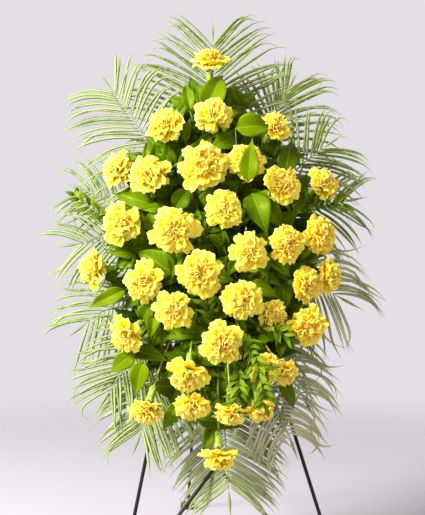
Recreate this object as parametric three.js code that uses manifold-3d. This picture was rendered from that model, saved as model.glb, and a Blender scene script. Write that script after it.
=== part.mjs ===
// Standing funeral spray: yellow carnations, palm fronds, broad leaves and small-leaved
// sprigs in a block of floral foam, in a plastic tray that hangs on a black wire easel.
// Millimetres, +Z up, the spray faces -Y. The origin is on the floor, under the middle of
// the whole object's box.
import * as THREE from 'three';
import { mergeVertices } from 'three/addons/utils/BufferGeometryUtils.js';
import Module from 'manifold-3d';

const wasm = await Module();
wasm.setup();

// The easel: two front legs that lean back, a back leg, and an inverted V of braces.
const EASEL_TOP = [-9, 0, 750];
const FRONT_LEFT_FOOT = [-161, -170, 0];
const FRONT_RIGHT_FOOT = [226, -170, 0];
const BACK_FOOT = [-56, 410, 0];
const BRACE_TOP_HEIGHT = 199;
const BRACE_TOP_X = 6;
const STAY_BACK_HEIGHT = 240;
const WIRE_RADIUS = 3.25;
const WIRE_SIDES = 6;
const CROSSBAR = { height: 690, radius: 2.6 };
const FOOT_CAP = { width: 34, depth: 26, height: 15, inwards: 7 };
const BRACKET = { halfWidth: 17, front: 12, back: 28, below: 18, above: 2 };

// The spray is built in a leaning frame: X right, V up along the front legs, W forward.
const HUB = [0, -43, 560];
const LEAN = Math.atan2(-FRONT_LEFT_FOOT[1], EASEL_TOP[2]);

// The plastic tray and the block of foam that lies in it, in the leaning frame.
const TRAY = { wall: 2.5, back: 3.6, rim: 10 };

// The gap left where two pieces touch, and how far a cutter stands out for it.
const GAP = 0.4;
const SMALLEST_EDGE = 0.2;
const FOAM = { halfWidth: 55, bottom: -110, top: 105, back: TRAY.back + TRAY.wall + GAP, front: 80 };
const SAMPLES = 26;

// Carnations: x, v, w of the middle of the petals, yaw right, pitch up, radius.
const BLOOMS = [
  [-5, 355, 105, 0, 80, 34],
  [0, 235, 155, 5, 35, 36],
  [-80, 220, 145, -25, 35, 35],
  [110, 220, 135, 30, 35, 30],
  [-165, 145, 125, -55, 15, 34],
  [-110, 125, 155, -20, 30, 38],
  [-15, 135, 175, 0, 15, 44],
  [57, 145, 168, 15, 25, 35],
  [120, 105, 160, 25, 15, 36],
  [195, 125, 100, 45, 25, 32],
  [-155, 40, 150, -30, 5, 38],
  [-65, 20, 185, 0, 5, 42],
  [20, 55, 185, 5, 10, 34],
  [185, 25, 125, 40, 5, 36],
  [125, 0, 165, 25, 5, 33],
  [60, -20, 185, 15, 5, 35],
  [-205, -30, 105, -60, 0, 35],
  [-115, -65, 170, -20, -10, 37],
  [-20, -55, 190, 0, 0, 39],
  [50, -100, 185, 5, -5, 36],
  [158, -65, 140, 50, -5, 33],
  [198, -47, 118, 60, 0, 31],
  [-65, -115, 180, -5, -10, 34],
  [100, -120, 155, 30, -15, 27],
  [160, -135, 135, 25, -15, 36],
  [-145, -150, 145, -40, -25, 33],
  [15, -170, 180, 0, -15, 38],
  [90, -210, 155, 20, -25, 30],
  [120, -215, 140, 35, -40, 26],
  [-40, -220, 165, -5, -45, 36],
  [-110, -275, 125, -30, -60, 33],
  [-35, -270, 150, 0, -55, 32],
  [30, -280, 150, 5, -65, 30],
  [80, -275, 140, 20, -55, 27],
  [10, -350, 110, 0, -85, 33],
];
// Blooms whose petals grow into each other, by their place in the list above, from one.
const JOINED_BLOOMS = [[5, 6], [7, 8], [21, 22], [28, 29], [30, 32], [33, 34]];
const BLOOM_LOBES = 5;
const CALYX = { top: 15, length: 28, mouth: 7 };
const STEM_RADIUS = 2.3;
const STEM_KNOT = { centre: [0, 0, 58], radius: 18 };

// Palm fronds: angle clockwise from up, reach of the midrib, level, length of the longest
// leaflets, how far those at the end open in degrees, and how much the leaflets droop.
const FRONDS = {
  top: [0, 434, 3, 185, 36, 0.3],
  upper_right: [23, 358, 1, 170, 34, 0.5],
  right_shoulder: [44, 292, 2, 150, 34, 0.75],
  right_high: [65, 270, 0, 145, 34, 0.75],
  right_low: [105, 240, 3, 165, 34, 0.9],
  lower_right: [147, 290, 1, 140, 38, 0.6],
  bottom_right: [157, 342, 2, 130, 36, 0.5],
  bottom: [176, 392, 0, 135, 48, 0.1],
  bottom_left: [-158, 330, 3, 140, 36, 0.4],
  lower_left: [-143, 300, 4, 145, 36, 0.5],
  left_low: [-117, 256, 1, 150, 34, 0.75],
  left_middle: [-83, 242, 2, 148, 34, 0.75],
  left_high: [-60, 265, 0, 125, 34, 0.75],
  upper_left: [-30, 383, 4, 165, 36, 0.75],
};
const FROND_LEVEL = 17;
const FROND_LEVEL_STEP = 7;
const FROND_ARCH = 20;
const FROND_ARCH_SPAN = 430;
const LEAFLETS_A_SIDE = 8;
const FIRST_LEAFLET = 0.3;
const LAST_LEAFLET = 0.975;
const LEAFLET_WIDTH = 5.5;
const FIRST_OPENING = 66;
const TERMINAL_LEAFLET = { length: 0.37, widest: 0.4 };
const LAST_LEAFLET_SHORTER = 0.42;
const RIB_RADIUS = { root: 3, tip: 1.2 };

// Broad leaves on woody twigs: base, tip, width. A twig runs through its leaves' bases.
const TWIGS = {
  leaves_upper: [
    [[[-10, 255, 115], [20, 345, 85], 48], [[-40, 260, 115], [-50, 325, 90], 24],
      [[-50, 195, 125], [-40, 250, 115], 16]],
    [[[-55, 115, 125], [5, 230, 112], 50], [[-75, 160, 112], [-100, 205, 98], 32],
      [[40, 205, 125], [-10, 180, 132], 34]],
    [[[40, 210, 162], [112, 216, 145], 44], [[60, 100, 205], [68, 178, 210], 34],
      [[130, 145, 112], [145, 215, 90], 38], [[35, 100, 135], [25, 145, 130], 20]],
    [[[-120, 160, 118], [-115, 212, 108], 14], [[-135, 150, 110], [-152, 192, 95], 20],
      [[-105, 80, 125], [-182, 112, 95], 34], [[-90, 72, 140], [-124, 68, 135], 18]],
  ],
  leaves_middle: [
    [[[68, 92, 160], [96, 8, 165], 46], [[72, 96, 148], [128, 28, 138], 46],
      [[70, 10, 150], [115, 12, 140], 24], [[95, -15, 150], [137, -56, 138], 28]],
    [[[62, -65, 150], [116, -90, 135], 28], [[120, -55, 120], [126, -112, 115], 36],
      [[45, -25, 150], [22, -58, 155], 22], [[18, -2, 155], [-12, 20, 158], 18]],
    [[[-65, 70, 145], [-35, 112, 145], 34], [[-110, 30, 135], [-105, 74, 132], 22]],
    [[[-65, -48, 140], [-138, 0, 125], 46], [[-62, -10, 140], [-70, -58, 142], 30],
      [[-150, -70, 120], [-222, -98, 85], 28], [[-190, -45, 85], [-158, -32, 95], 18]],
  ],
  leaves_lower: [
    [[[-120, -122, 120], [-98, -85, 130], 30], [[-100, -115, 130], [-105, -158, 128], 26],
      [[-135, -175, 108], [-68, -196, 122], 30], [[-130, -178, 118], [-182, -212, 80], 32],
      [[-118, -195, 125], [-132, -254, 100], 34]],
    [[[-42, -176, 122], [22, -206, 125], 34]],
    [[[-55, -262, 112], [-88, -314, 90], 26], [[-25, -290, 105], [58, -306, 98], 30],
      [[5, -300, 88], [-18, -345, 80], 26]],
    [[[10, -205, 115], [15, -268, 100], 28], [[28, -195, 125], [54, -234, 112], 32],
      [[118, -225, 105], [142, -275, 75], 24]],
  ],
};
const TWIG_KNOTS = { leaves_upper: [0, 58, 50], leaves_middle: [0, 0, 24], leaves_lower: [0, -58, 50] };
const TWIG_RADIUS = 1.6;
const LEAF_THICKNESS = 0.9;

// Sprigs of small narrow leaves: points of each stem in the leaning frame.
const SPRIGS = [
  [[-145, 70, 118], [-175, 64, 108], [-214, 82, 94], [-252, 115, 80]],
  [[135, 62, 115], [160, 84, 108], [199, 90, 96], [237, 96, 82]],
  [[50, -150, 145], [56, -172, 165], [72, -198, 184], [88, -224, 186]],
  [[56, -200, 140], [62, -226, 134], [66, -244, 128], [78, -262, 112]],
];
const SPRIG_KNOT = [0, -28, 50];
const SPRIG_LEAF = { length: 30, width: 9, spacing: 22, sunk: 1.2 };

const RADIANS = Math.PI / 180;
const DOWN = new THREE.Vector2(0, -1);
const vector = (point) => new THREE.Vector3(...point);

/** Repeatable random numbers from 0 to 1. */
function seededRandom(seed) {
  let state = seed;
  return () => {
    state = (state * 1664525 + 1013904223) % 4294967296;
    return state / 4294967296;
  };
}

/** A closed surface that faces out, from its points and its faces of three corners or more. */
function shell(points, faces) {
  const triangles = faces.flatMap((face) => (
    face.slice(2).map((corner, i) => [face[0], face[i + 1], corner])
  ));
  const volume = triangles.reduce((sum, [a, b, c]) => (
    sum + points[a].dot(points[b].clone().cross(points[c]))
  ), 0);
  const geometry = new THREE.BufferGeometry();
  const places = points.flatMap((point) => point.toArray());
  geometry.setAttribute('position', new THREE.Float32BufferAttribute(places, 3));
  geometry.setIndex(triangles.flatMap(([a, b, c]) => (volume > 0 ? [a, b, c] : [a, c, b])));
  return geometry;
}

/** The solid that a closed surface bounds. */
function solid(geometry) {
  const bare = geometry.clone();
  bare.deleteAttribute('normal');
  bare.deleteAttribute('uv');
  const merged = mergeVertices(bare, 1e-4);
  return new wasm.Manifold(new wasm.Mesh({
    numProp: 3,
    vertProperties: new Float32Array(merged.attributes.position.array),
    triVerts: new Uint32Array(merged.index.array),
  }));
}

/** The surface of a solid. */
function surface(body) {
  const mesh = body.getMesh();
  const geometry = new THREE.BufferGeometry();
  geometry.setAttribute('position', new THREE.BufferAttribute(mesh.vertProperties, 3));
  geometry.setIndex(new THREE.BufferAttribute(mesh.triVerts, 1));
  return geometry;
}

/**
 * The solid with each of its faces moved out by a distance, to cut a clearance with. A corner
 * moves to where its moved faces meet: the least-squares answer, held near the corner.
 */
function grown(body, distance = GAP) {
  const geometry = surface(body);
  const { position } = geometry.attributes;
  const corners = Array.from({ length: position.count }, () => ({
    sums: Array(9).fill(0),
    pull: new THREE.Vector3(),
  }));
  const triangle = new THREE.Triangle();
  const normal = new THREE.Vector3();
  for (let face = 0; face < geometry.index.count; face += 3) {
    const at = [0, 1, 2].map((i) => geometry.index.getX(face + i));
    triangle.setFromAttributeAndIndices(position, ...at);
    triangle.getNormal(normal);
    const sides = normal.toArray();
    const places = [triangle.a, triangle.b, triangle.c];
    at.forEach((corner, i) => {
      const toNext = places[(i + 1) % 3].clone().sub(places[i]);
      const toLast = places[(i + 2) % 3].clone().sub(places[i]);
      const weight = toNext.angleTo(toLast);
      sides.forEach((a, row) => sides.forEach((b, column) => {
        corners[corner].sums[row * 3 + column] += weight * a * b;
      }));
      corners[corner].pull.addScaledVector(normal, weight * distance);
    });
  }
  const steady = 0.02;
  corners.forEach(({ sums, pull }, i) => {
    const matrix = new THREE.Matrix3().set(...sums.map((value, k) => value + (k % 4 === 0 ? steady : 0)));
    const move = pull.applyMatrix3(matrix.invert()).clampLength(0, 2.5 * distance);
    position.setXYZ(i, position.getX(i) + move.x, position.getY(i) + move.y, position.getZ(i) + move.z);
  });
  return solid(geometry);
}

/** The largest connected piece of a solid. */
function largest(body) {
  const pieces = body.decompose();
  return pieces.reduce((best, piece) => (piece.volume() > best.volume() ? piece : best));
}

/** All solids joined, without the tiny faces that joining leaves. */
const joined = (bodies) => wasm.Manifold.union(bodies).simplify(SMALLEST_EDGE);

/** A round bar along a curve. */
function bar(curve, radius, sides = 8, steps = 1) {
  const section = new THREE.Shape();
  for (let i = 0; i < sides; i += 1) {
    const turn = (2 * Math.PI * i) / sides;
    const corner = [radius * Math.cos(turn), radius * Math.sin(turn)];
    if (i === 0) section.moveTo(...corner);
    else section.lineTo(...corner);
  }
  return new THREE.ExtrudeGeometry(section, { steps, extrudePath: curve, bevelEnabled: false });
}

/** A straight bar between two points. */
const straightBar = (from, to, radius, sides) => bar(new THREE.LineCurve3(from, to), radius, sides);

/** A closed surface over rings of points, one after the other, with as many points in each. */
function loft(points, sides) {
  const faces = [];
  for (let near = 0; near + sides < points.length; near += sides) {
    for (let i = 0; i < sides; i += 1) {
      const j = (i + 1) % sides;
      faces.push([near + i, near + j, near + sides + j, near + sides + i]);
    }
  }
  const turns = [...Array(sides).keys()];
  faces.push([...turns].reverse());
  faces.push(turns.map((i) => points.length - sides + i));
  return shell(points, faces);
}

/** A solid of round rings along a list of points: each ring has a centre, an axis and a radius. */
function rings(list, sides) {
  const points = [];
  list.forEach(({ centre, axis, radius }) => {
    const side = new THREE.Vector3(0, 0, 1).cross(axis);
    if (side.length() < 0.2) side.set(1, 0, 0);
    side.normalize();
    const other = axis.clone().cross(side).normalize();
    for (let i = 0; i < sides; i += 1) {
      const turn = (2 * Math.PI * i) / sides;
      points.push(centre.clone()
        .addScaledVector(side, radius * Math.cos(turn))
        .addScaledVector(other, radius * Math.sin(turn)));
    }
  });
  return loft(points, sides);
}

/** A box between two corners. */
function box(low, high) {
  const size = high.map((value, i) => value - low[i]);
  const geometry = new THREE.BoxGeometry(...size);
  geometry.translate(...low.map((value, i) => value + size[i] / 2));
  return geometry;
}

/** A faceted ball. */
const ball = (centre, radius) => new THREE.IcosahedronGeometry(radius, 0).translate(...centre);

// The turn from the leaning frame to the upright one.
const sprayPlace = new THREE.Matrix4()
  .makeRotationX(Math.PI / 2 - LEAN)
  .setPosition(...HUB);
const sprayPlaceBack = sprayPlace.clone().invert();

/** A solid built upright, seen in the leaning frame. */
const leaned = (geometry) => solid(geometry.clone().applyMatrix4(sprayPlaceBack));

/** The way a bloom faces, in the leaning frame, from its yaw to the right and its pitch up. */
function facing(yaw, pitch) {
  const flat = Math.cos(pitch * RADIANS);
  return new THREE.Vector3(
    Math.sin(yaw * RADIANS) * flat,
    -Math.cos(yaw * RADIANS) * flat,
    Math.sin(pitch * RADIANS),
  ).transformDirection(sprayPlaceBack);
}

/** The point at a height on the straight line between two points. */
function atHeight([from, to], height) {
  return from.clone().lerp(to, (height - from.z) / (to.z - from.z));
}

/** The middle lines of the easel's wires: two front legs, two braces and the back leg. */
function easelLines() {
  const wireEnd = 3.2;
  const headSpread = 5;
  const headBack = 12;
  const headHeight = EASEL_TOP[2] - 4;
  const leg = (foot, shift) => {
    const whole = [vector(EASEL_TOP), vector(foot)];
    return [atHeight(whole, headHeight).add(shift), atHeight(whole, wireEnd)];
  };
  const lines = {
    leg_left: leg(FRONT_LEFT_FOOT, new THREE.Vector3(-headSpread, 0, 0)),
    leg_right: leg(FRONT_RIGHT_FOOT, new THREE.Vector3(headSpread, 0, 0)),
    back_leg: leg(BACK_FOOT, new THREE.Vector3(0, headBack, 0)),
  };
  const footToBrace = 10;
  const topHalf = 2.6;
  const braceTop = atHeight(lines.leg_left, BRACE_TOP_HEIGHT);
  const brace = (foot, side) => [
    new THREE.Vector3(BRACE_TOP_X + side * topHalf, braceTop.y, BRACE_TOP_HEIGHT),
    new THREE.Vector3(foot[0] - side * footToBrace, foot[1], wireEnd + 1),
  ];
  lines.brace_left = brace(FRONT_LEFT_FOOT, -1);
  lines.brace_right = brace(FRONT_RIGHT_FOOT, 1);
  return lines;
}

/** The stay: two thin wires side by side from the braces to the back leg, with end pins. */
function easelStay(lines) {
  const pinRadius = 2.4;
  const wireRadius = 2;
  const across = new THREE.Vector3(4.5, 0, 0);
  const reach = WIRE_RADIUS + GAP + pinRadius;
  const front = lines.brace_left[0].clone().add(new THREE.Vector3(0, reach + 0.2, -2));
  front.x = BRACE_TOP_X;
  const backLegSlope = Math.atan2(BACK_FOOT[1], EASEL_TOP[2]);
  const back = atHeight(lines.back_leg, STAY_BACK_HEIGHT)
    .add(new THREE.Vector3(0, -reach / Math.cos(backLegSlope) - 0.1, 0));
  const wires = [1, -1].map((side) => solid(straightBar(
    front.clone().addScaledVector(across, side),
    back.clone().addScaledVector(across, side),
    wireRadius,
    WIRE_SIDES,
  )));
  const pins = [front, back].map((end) => solid(straightBar(
    end.clone().addScaledVector(across, -1.9),
    end.clone().addScaledVector(across, 1.9),
    pinRadius,
    WIRE_SIDES,
  )));
  return joined([...wires, ...pins]);
}

/** The easel's wires, top bracket and foot caps, each a solid in the upright frame. */
function easel() {
  const lines = easelLines();
  const parts = {};
  Object.entries(lines).forEach(([name, [from, to]]) => {
    parts[`easel_${name}`] = solid(straightBar(from, to, WIRE_RADIUS, WIRE_SIDES));
  });

  // The crossbar is welded to the right leg and stops just short of the left one.
  const crossbarLeft = atHeight(lines.leg_left, CROSSBAR.height);
  crossbarLeft.x += WIRE_RADIUS + 3 * GAP;
  const crossbar = straightBar(
    atHeight(lines.leg_right, CROSSBAR.height),
    crossbarLeft,
    CROSSBAR.radius,
    WIRE_SIDES,
  );
  parts.easel_leg_right = joined([parts.easel_leg_right, solid(crossbar)]);
  parts.easel_stay = easelStay(lines);

  // A pressed bracket that holds the heads of all three legs in plain holes.
  const [topX, topY, topZ] = EASEL_TOP;
  const { halfWidth, front, back, below, above } = BRACKET;
  const block = solid(box(
    [topX - halfWidth, topY - front, topZ - below],
    [topX + halfWidth, topY + back, topZ + above],
  ));
  parts.easel_top_bracket = ['easel_leg_left', 'easel_leg_right', 'easel_back_leg']
    .reduce((body, name) => body.subtract(grown(parts[name])), block);

  const wires = Object.values(parts);
  const cap = ([x, y], inwards) => wires.reduce((body, wire) => body.subtract(grown(wire)), solid(box(
    [x - FOOT_CAP.width / 2 + inwards, y - FOOT_CAP.depth / 2, 0],
    [x + FOOT_CAP.width / 2 + inwards, y + FOOT_CAP.depth / 2, FOOT_CAP.height],
  )));
  parts.easel_foot_left = cap(FRONT_LEFT_FOOT, FOOT_CAP.inwards);
  parts.easel_foot_right = cap(FRONT_RIGHT_FOOT, -FOOT_CAP.inwards);
  parts.easel_foot_back = cap(BACK_FOOT, 0);
  return parts;
}

/** The tray behind the foam: a plate with a rim and a hook over the easel's crossbar. */
function tray() {
  const { halfWidth, bottom, top } = FOAM;
  const reach = GAP + TRAY.wall;
  const outer = solid(box(
    [-halfWidth - reach, bottom - reach, TRAY.back],
    [halfWidth + reach, top + reach, TRAY.back + TRAY.wall + TRAY.rim],
  ));
  const inner = solid(box(
    [-halfWidth - GAP, bottom - GAP, TRAY.back + TRAY.wall],
    [halfWidth + GAP, top + GAP, FOAM.front],
  ));
  const barHeight = (CROSSBAR.height - HUB[2]) / Math.cos(LEAN);
  const seat = barHeight + CROSSBAR.radius + GAP;
  const hook = [
    box([-10, top, TRAY.back], [0, seat + 4, TRAY.back + 3]),
    box([-10, seat, -8], [0, seat + 4, TRAY.back + 3]),
    box([-10, barHeight - 6, -8], [0, seat + 4, -5]),
  ];
  return joined([outer.subtract(inner), ...hook.map(solid)]);
}

/** Height of the arched sheet that a frond at a level lies in, at a place across the spray. */
function frondDepth(level, x, v) {
  const reach = Math.hypot(x, v);
  const arch = FROND_ARCH * Math.sin((Math.PI * reach) / FROND_ARCH_SPAN);
  const droop = 25 * Math.max(0, (v - 180) / 240) ** 2;
  return FROND_LEVEL + FROND_LEVEL_STEP * level + arch - droop;
}

/** How far a frond's root stands in the foam, along its own direction. */
function foamEdge(way) {
  const sideways = FOAM.halfWidth / Math.max(Math.abs(way.x), 1e-6);
  const lengthways = (way.y > 0 ? FOAM.top : -FOAM.bottom) / Math.max(Math.abs(way.y), 1e-6);
  return Math.min(sideways, lengthways);
}

/** The three corners of a leaflet's section around a point: both edges and the ridge. */
function leafletSection(point, along, width) {
  const across = new THREE.Vector3(0, 0, 1).cross(along).normalize();
  return [
    point.clone().addScaledVector(across, -width / 2).add(new THREE.Vector3(0, 0, -0.4)),
    point.clone().addScaledVector(across, width / 2).add(new THREE.Vector3(0, 0, -0.4)),
    point.clone().add(new THREE.Vector3(0, 0, 1)),
  ];
}

/** The points that a leaflet runs through: it leaves the rib at an angle and droops. */
function leafletPath(root, heading, length, droop, place) {
  const path = [];
  const point = root.clone();
  let last = 0;
  [0.38, 0.74, 1].forEach((station) => {
    const bent = heading.clone().addScaledVector(DOWN, droop * ((last + station) / 2) ** 1.5).normalize();
    point.addScaledVector(bent, length * (station - last));
    path.push(place(point));
    last = station;
  });
  return path;
}

/** The line of a frond's midrib in the plane of the spray: it springs up a little at its sides. */
function frondSpine(name) {
  const [angle, reach] = FRONDS[name];
  const way = new THREE.Vector2(Math.sin(angle * RADIANS), Math.cos(angle * RADIANS));
  const start = way.clone().multiplyScalar(foamEdge(way) - 32);
  const tip = way.clone().multiplyScalar(reach);
  const lift = new THREE.Vector2(0, 0.1 * reach * Math.abs(way.x));
  return new THREE.QuadraticBezierCurve(start, start.clone().lerp(tip, 0.55).add(lift), tip);
}

/**
 * Palm frond: a tapered midrib with a pair of leaflets at each of its joints, and one leaflet
 * straight ahead at its end. The rib has a ring of four corners at both ends of each joint, and
 * a leaflet grows from the side face between them, so the frond is one closed surface.
 */
function frond(name) {
  const [angle, reach, level, longest, lastOpening, droop] = FRONDS[name];
  const spine = frondSpine(name);
  const random = seededRandom(Math.round(1000 + angle * 7 + reach));
  const depthAt = (point) => new THREE.Vector3(point.x, point.y, frondDepth(level, point.x, point.y));

  const joints = [];
  for (let i = 0; i < LEAFLETS_A_SIDE; i += 1) {
    joints.push(FIRST_LEAFLET + ((LAST_LEAFLET - FIRST_LEAFLET) * i) / (LEAFLETS_A_SIDE - 1));
  }
  const jointHalf = 1.8 / spine.getLength();
  const stations = [0, ...joints.flatMap((t) => [t - jointHalf, t + jointHalf]), 1];
  const points = [];
  const ring = (flat, ahead, halfWidth, halfHeight) => {
    const aside = new THREE.Vector3(ahead.y, -ahead.x, 0);
    [[-1, -0.5], [1, -0.5], [0.7, 0.7], [-0.7, 0.7]].forEach(([right, up]) => {
      const corner = depthAt(flat).addScaledVector(aside, halfWidth * right);
      corner.z += halfHeight * up;
      points.push(corner);
    });
  };
  stations.forEach((t) => {
    const radius = RIB_RADIUS.root + (RIB_RADIUS.tip - RIB_RADIUS.root) * t;
    ring(spine.getPoint(t), spine.getTangent(t), radius, radius);
  });
  const lastWay = spine.getTangent(1);
  const lastLength = TERMINAL_LEAFLET.length * longest;
  const beyond = (share) => spine.getPoint(1).addScaledVector(lastWay, share * lastLength);
  const lastRing = stations.length;
  ring(beyond(TERMINAL_LEAFLET.widest), lastWay, LEAFLET_WIDTH / 2, RIB_RADIUS.tip);
  const end = points.push(depthAt(beyond(1))) - 1;
  const faces = [[3, 2, 1, 0]];
  [0, 1, 2, 3].forEach((i) => faces.push([lastRing * 4 + i, lastRing * 4 + ((i + 1) % 4), end]));
  const leafletOn = (row, side) => {
    const share = ((row - 1) / 2) / (LEAFLETS_A_SIDE - 1);
    const t = (stations[row] + stations[row + 1]) / 2;
    const root = spine.getPoint(t);
    const narrowing = (FIRST_OPENING - lastOpening) * share;
    const opening = (FIRST_OPENING - narrowing + 5 * (random() - 0.5)) * RADIANS;
    const length = longest * (1 - LAST_LEAFLET_SHORTER * share ** 2);
    const heading = spine.getTangent(t).rotateAround(new THREE.Vector2(), -side * opening);
    const place = (point) => {
      const placed = depthAt(point);
      // The bottom frond is turned, so that its left leaflets hang behind the left brace.
      if (name === 'bottom' && side < 0 && t > 0.6) placed.z -= 1.15 * Math.abs(point.x - root.x);
      return placed;
    };
    const path = leafletPath(root, heading, length, droop, place);
    const first = points.length;
    points.push(...leafletSection(path[0], path[1].clone().sub(path[0]).normalize(), LEAFLET_WIDTH));
    points.push(...leafletSection(path[1], path[2].clone().sub(path[0]).normalize(), LEAFLET_WIDTH * 0.8));
    points.push(path[2]);
    // The face of the rib, from its near lower corner round to its near upper one.
    const near = row * 4;
    const far = near + 4;
    const [lowNear, lowFar, topFar, topNear] = side > 0
      ? [near + 1, far + 1, far + 2, near + 2]
      : [far, near, near + 3, far + 3];
    const [nearSide, farSide, ridge] = [first, first + 1, first + 2];
    faces.push([lowFar, lowNear, nearSide], [lowFar, nearSide, farSide]);
    faces.push([topFar, lowFar, farSide], [topFar, farSide, ridge]);
    faces.push([topNear, topFar, ridge]);
    faces.push([lowNear, topNear, ridge], [lowNear, ridge, nearSide]);
    for (let i = 0; i < 3; i += 1) {
      const j = (i + 1) % 3;
      faces.push([first + j, first + i, first + 3 + i, first + 3 + j]);
      faces.push([first + 3 + j, first + 3 + i, first + 6]);
    }
  };
  for (let row = 0; row < lastRing; row += 1) {
    const isJoint = row % 2 === 1 && row + 1 < lastRing;
    for (let i = 0; i < 4; i += 1) {
      const j = (i + 1) % 4;
      const sideIsOpen = isJoint && i % 2 === 1;
      if (!sideIsOpen) faces.push([row * 4 + i, row * 4 + j, row * 4 + 4 + j, row * 4 + 4 + i]);
    }
    if (isJoint) [1, -1].forEach((side) => leafletOn(row, side));
  }
  return solid(shell(points, faces));
}

/** A bloom's petals in three ruffled tiers, around its own axis, as one closed surface. */
function petals(radius, random) {
  const unit = radius / 36;
  // Radius as a share, height in millimetres at the middle size, depth of the lobes.
  const tiers = [
    [0.2, -13, 0, 0], [1, -2, 0.09, 3.5], [0.66, 3, 0, 0], [0.8, 11, 0.1, 3], [0.46, 19, 0.15, 2.5],
  ];
  const sides = BLOOM_LOBES * 2;
  const points = [new THREE.Vector3(0, 0, -15 * unit)];
  tiers.forEach(([share, height, lobe, ruffle]) => {
    const phase = random() * Math.PI;
    for (let i = 0; i < sides; i += 1) {
      const turn = (2 * Math.PI * i) / sides;
      const out = i % 2 === 0 ? 1 : -1;
      const wobble = lobe === 0 ? 0 : 0.07 * (random() - 0.5);
      const reach = radius * (share + lobe * out + wobble);
      const rise = unit * (height - ruffle * out * Math.cos(2 * turn + phase));
      points.push(new THREE.Vector3(reach * Math.cos(turn), reach * Math.sin(turn), rise));
    }
  });
  points.push(new THREE.Vector3(0, 0, 17 * unit));
  const faces = [];
  const row = (tier, i) => 1 + tier * sides + (i % sides);
  for (let i = 0; i < sides; i += 1) {
    faces.push([0, row(0, i + 1), row(0, i)]);
    for (let tier = 0; tier + 1 < tiers.length; tier += 1) {
      faces.push([row(tier, i), row(tier, i + 1), row(tier + 1, i + 1)]);
      faces.push([row(tier, i), row(tier + 1, i + 1), row(tier + 1, i)]);
    }
    faces.push([row(tiers.length - 1, i), row(tiers.length - 1, i + 1), points.length - 1]);
  }
  return shell(points, faces);
}

/** A bloom's petals at its place on the spray. */
function bloom(number) {
  const [x, v, w, yaw, pitch, radius] = BLOOMS[number - 1];
  const random = seededRandom(77 + number * 13);
  const geometry = petals(radius, random);
  geometry.rotateZ(random() * Math.PI);
  const turn = new THREE.Quaternion().setFromUnitVectors(new THREE.Vector3(0, 0, 1), facing(yaw, pitch));
  geometry.applyQuaternion(turn);
  geometry.translate(x, v, w);
  return solid(geometry);
}

/** A guard petal of one bloom that has grown in among the petals of the next one. */
function sharedPetal([first, second]) {
  const [start, end] = [first, second].map((number) => vector(BLOOMS[number - 1].slice(0, 3)));
  const [firstWay, secondWay] = [first, second].map((number) => facing(...BLOOMS[number - 1].slice(3, 5)));
  const along = end.clone().sub(start).normalize();
  const across = along.clone().cross(firstWay.add(secondWay)).normalize();
  const flat = across.clone().cross(along);
  const halfThickness = 1;
  // How far along the petal, half its width there and how far its middle stands up.
  const sections = [[0, 3, 0], [0.35, 10, 2], [0.6, 14, 3], [1, 9, 0]];
  const points = sections.flatMap(([t, half, rise]) => {
    const middle = start.clone().lerp(end, t);
    const corners = [[-half, -1], [0, rise - 1], [half, -1], [half, 1], [0, rise + 1], [-half, 1]];
    return corners.map(([aside, up]) => (
      middle.clone().addScaledVector(across, aside).addScaledVector(flat, up * halfThickness)
    ));
  });
  return solid(loft(points, 6));
}

/** The middle of a calyx's mouth, just behind its bloom's petals. */
function calyxMouth(number) {
  const [x, v, w, yaw, pitch, radius] = BLOOMS[number - 1];
  return new THREE.Vector3(x, v, w).addScaledVector(facing(yaw, pitch), -(CALYX.top * radius) / 36 - GAP);
}

/** The line of a bloom's stem: from its calyx back into the knot in the foam. */
function stemLine(number) {
  const ahead = facing(...BLOOMS[number - 1].slice(3, 5));
  const foot = calyxMouth(number).addScaledVector(ahead, 1 - CALYX.length);
  const knot = vector(STEM_KNOT.centre);
  const distance = foot.distanceTo(knot);
  const bend = foot.clone().addScaledVector(ahead, -0.4 * distance);
  bend.z = Math.max(bend.z, 64);
  const inward = foot.clone().sub(knot).normalize();
  const end = knot.addScaledVector(inward, STEM_KNOT.radius * 0.5);
  return new THREE.QuadraticBezierCurve3(foot, bend, end);
}

/** A bloom's calyx and stem. */
function stem(number) {
  const mouth = calyxMouth(number);
  const line = stemLine(number);
  const back = facing(...BLOOMS[number - 1].slice(3, 5)).negate();
  const waist = mouth.clone().addScaledVector(back, CALYX.length * 0.7);
  const list = [
    { centre: mouth, axis: back, radius: CALYX.mouth },
    { centre: waist, axis: back, radius: CALYX.mouth * 0.85 },
    { centre: line.getPoint(0), axis: back, radius: STEM_RADIUS },
    { centre: line.getPoint(0.5), axis: line.getTangent(0.5), radius: STEM_RADIUS },
    { centre: line.getPoint(1), axis: line.getTangent(1), radius: STEM_RADIUS },
  ];
  return solid(rings(list, 3));
}

// Round things that twigs and sprigs bend clear of: a middle and a radius each.
const obstacles = [];

/** The room left between a curve and everything that it has to clear. */
function room(curve, radius) {
  let least = Infinity;
  curve.getPoints(SAMPLES).forEach((point) => {
    obstacles.forEach((other) => {
      least = Math.min(least, point.distanceTo(other.centre) - other.radius - radius);
    });
  });
  return least;
}

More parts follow.
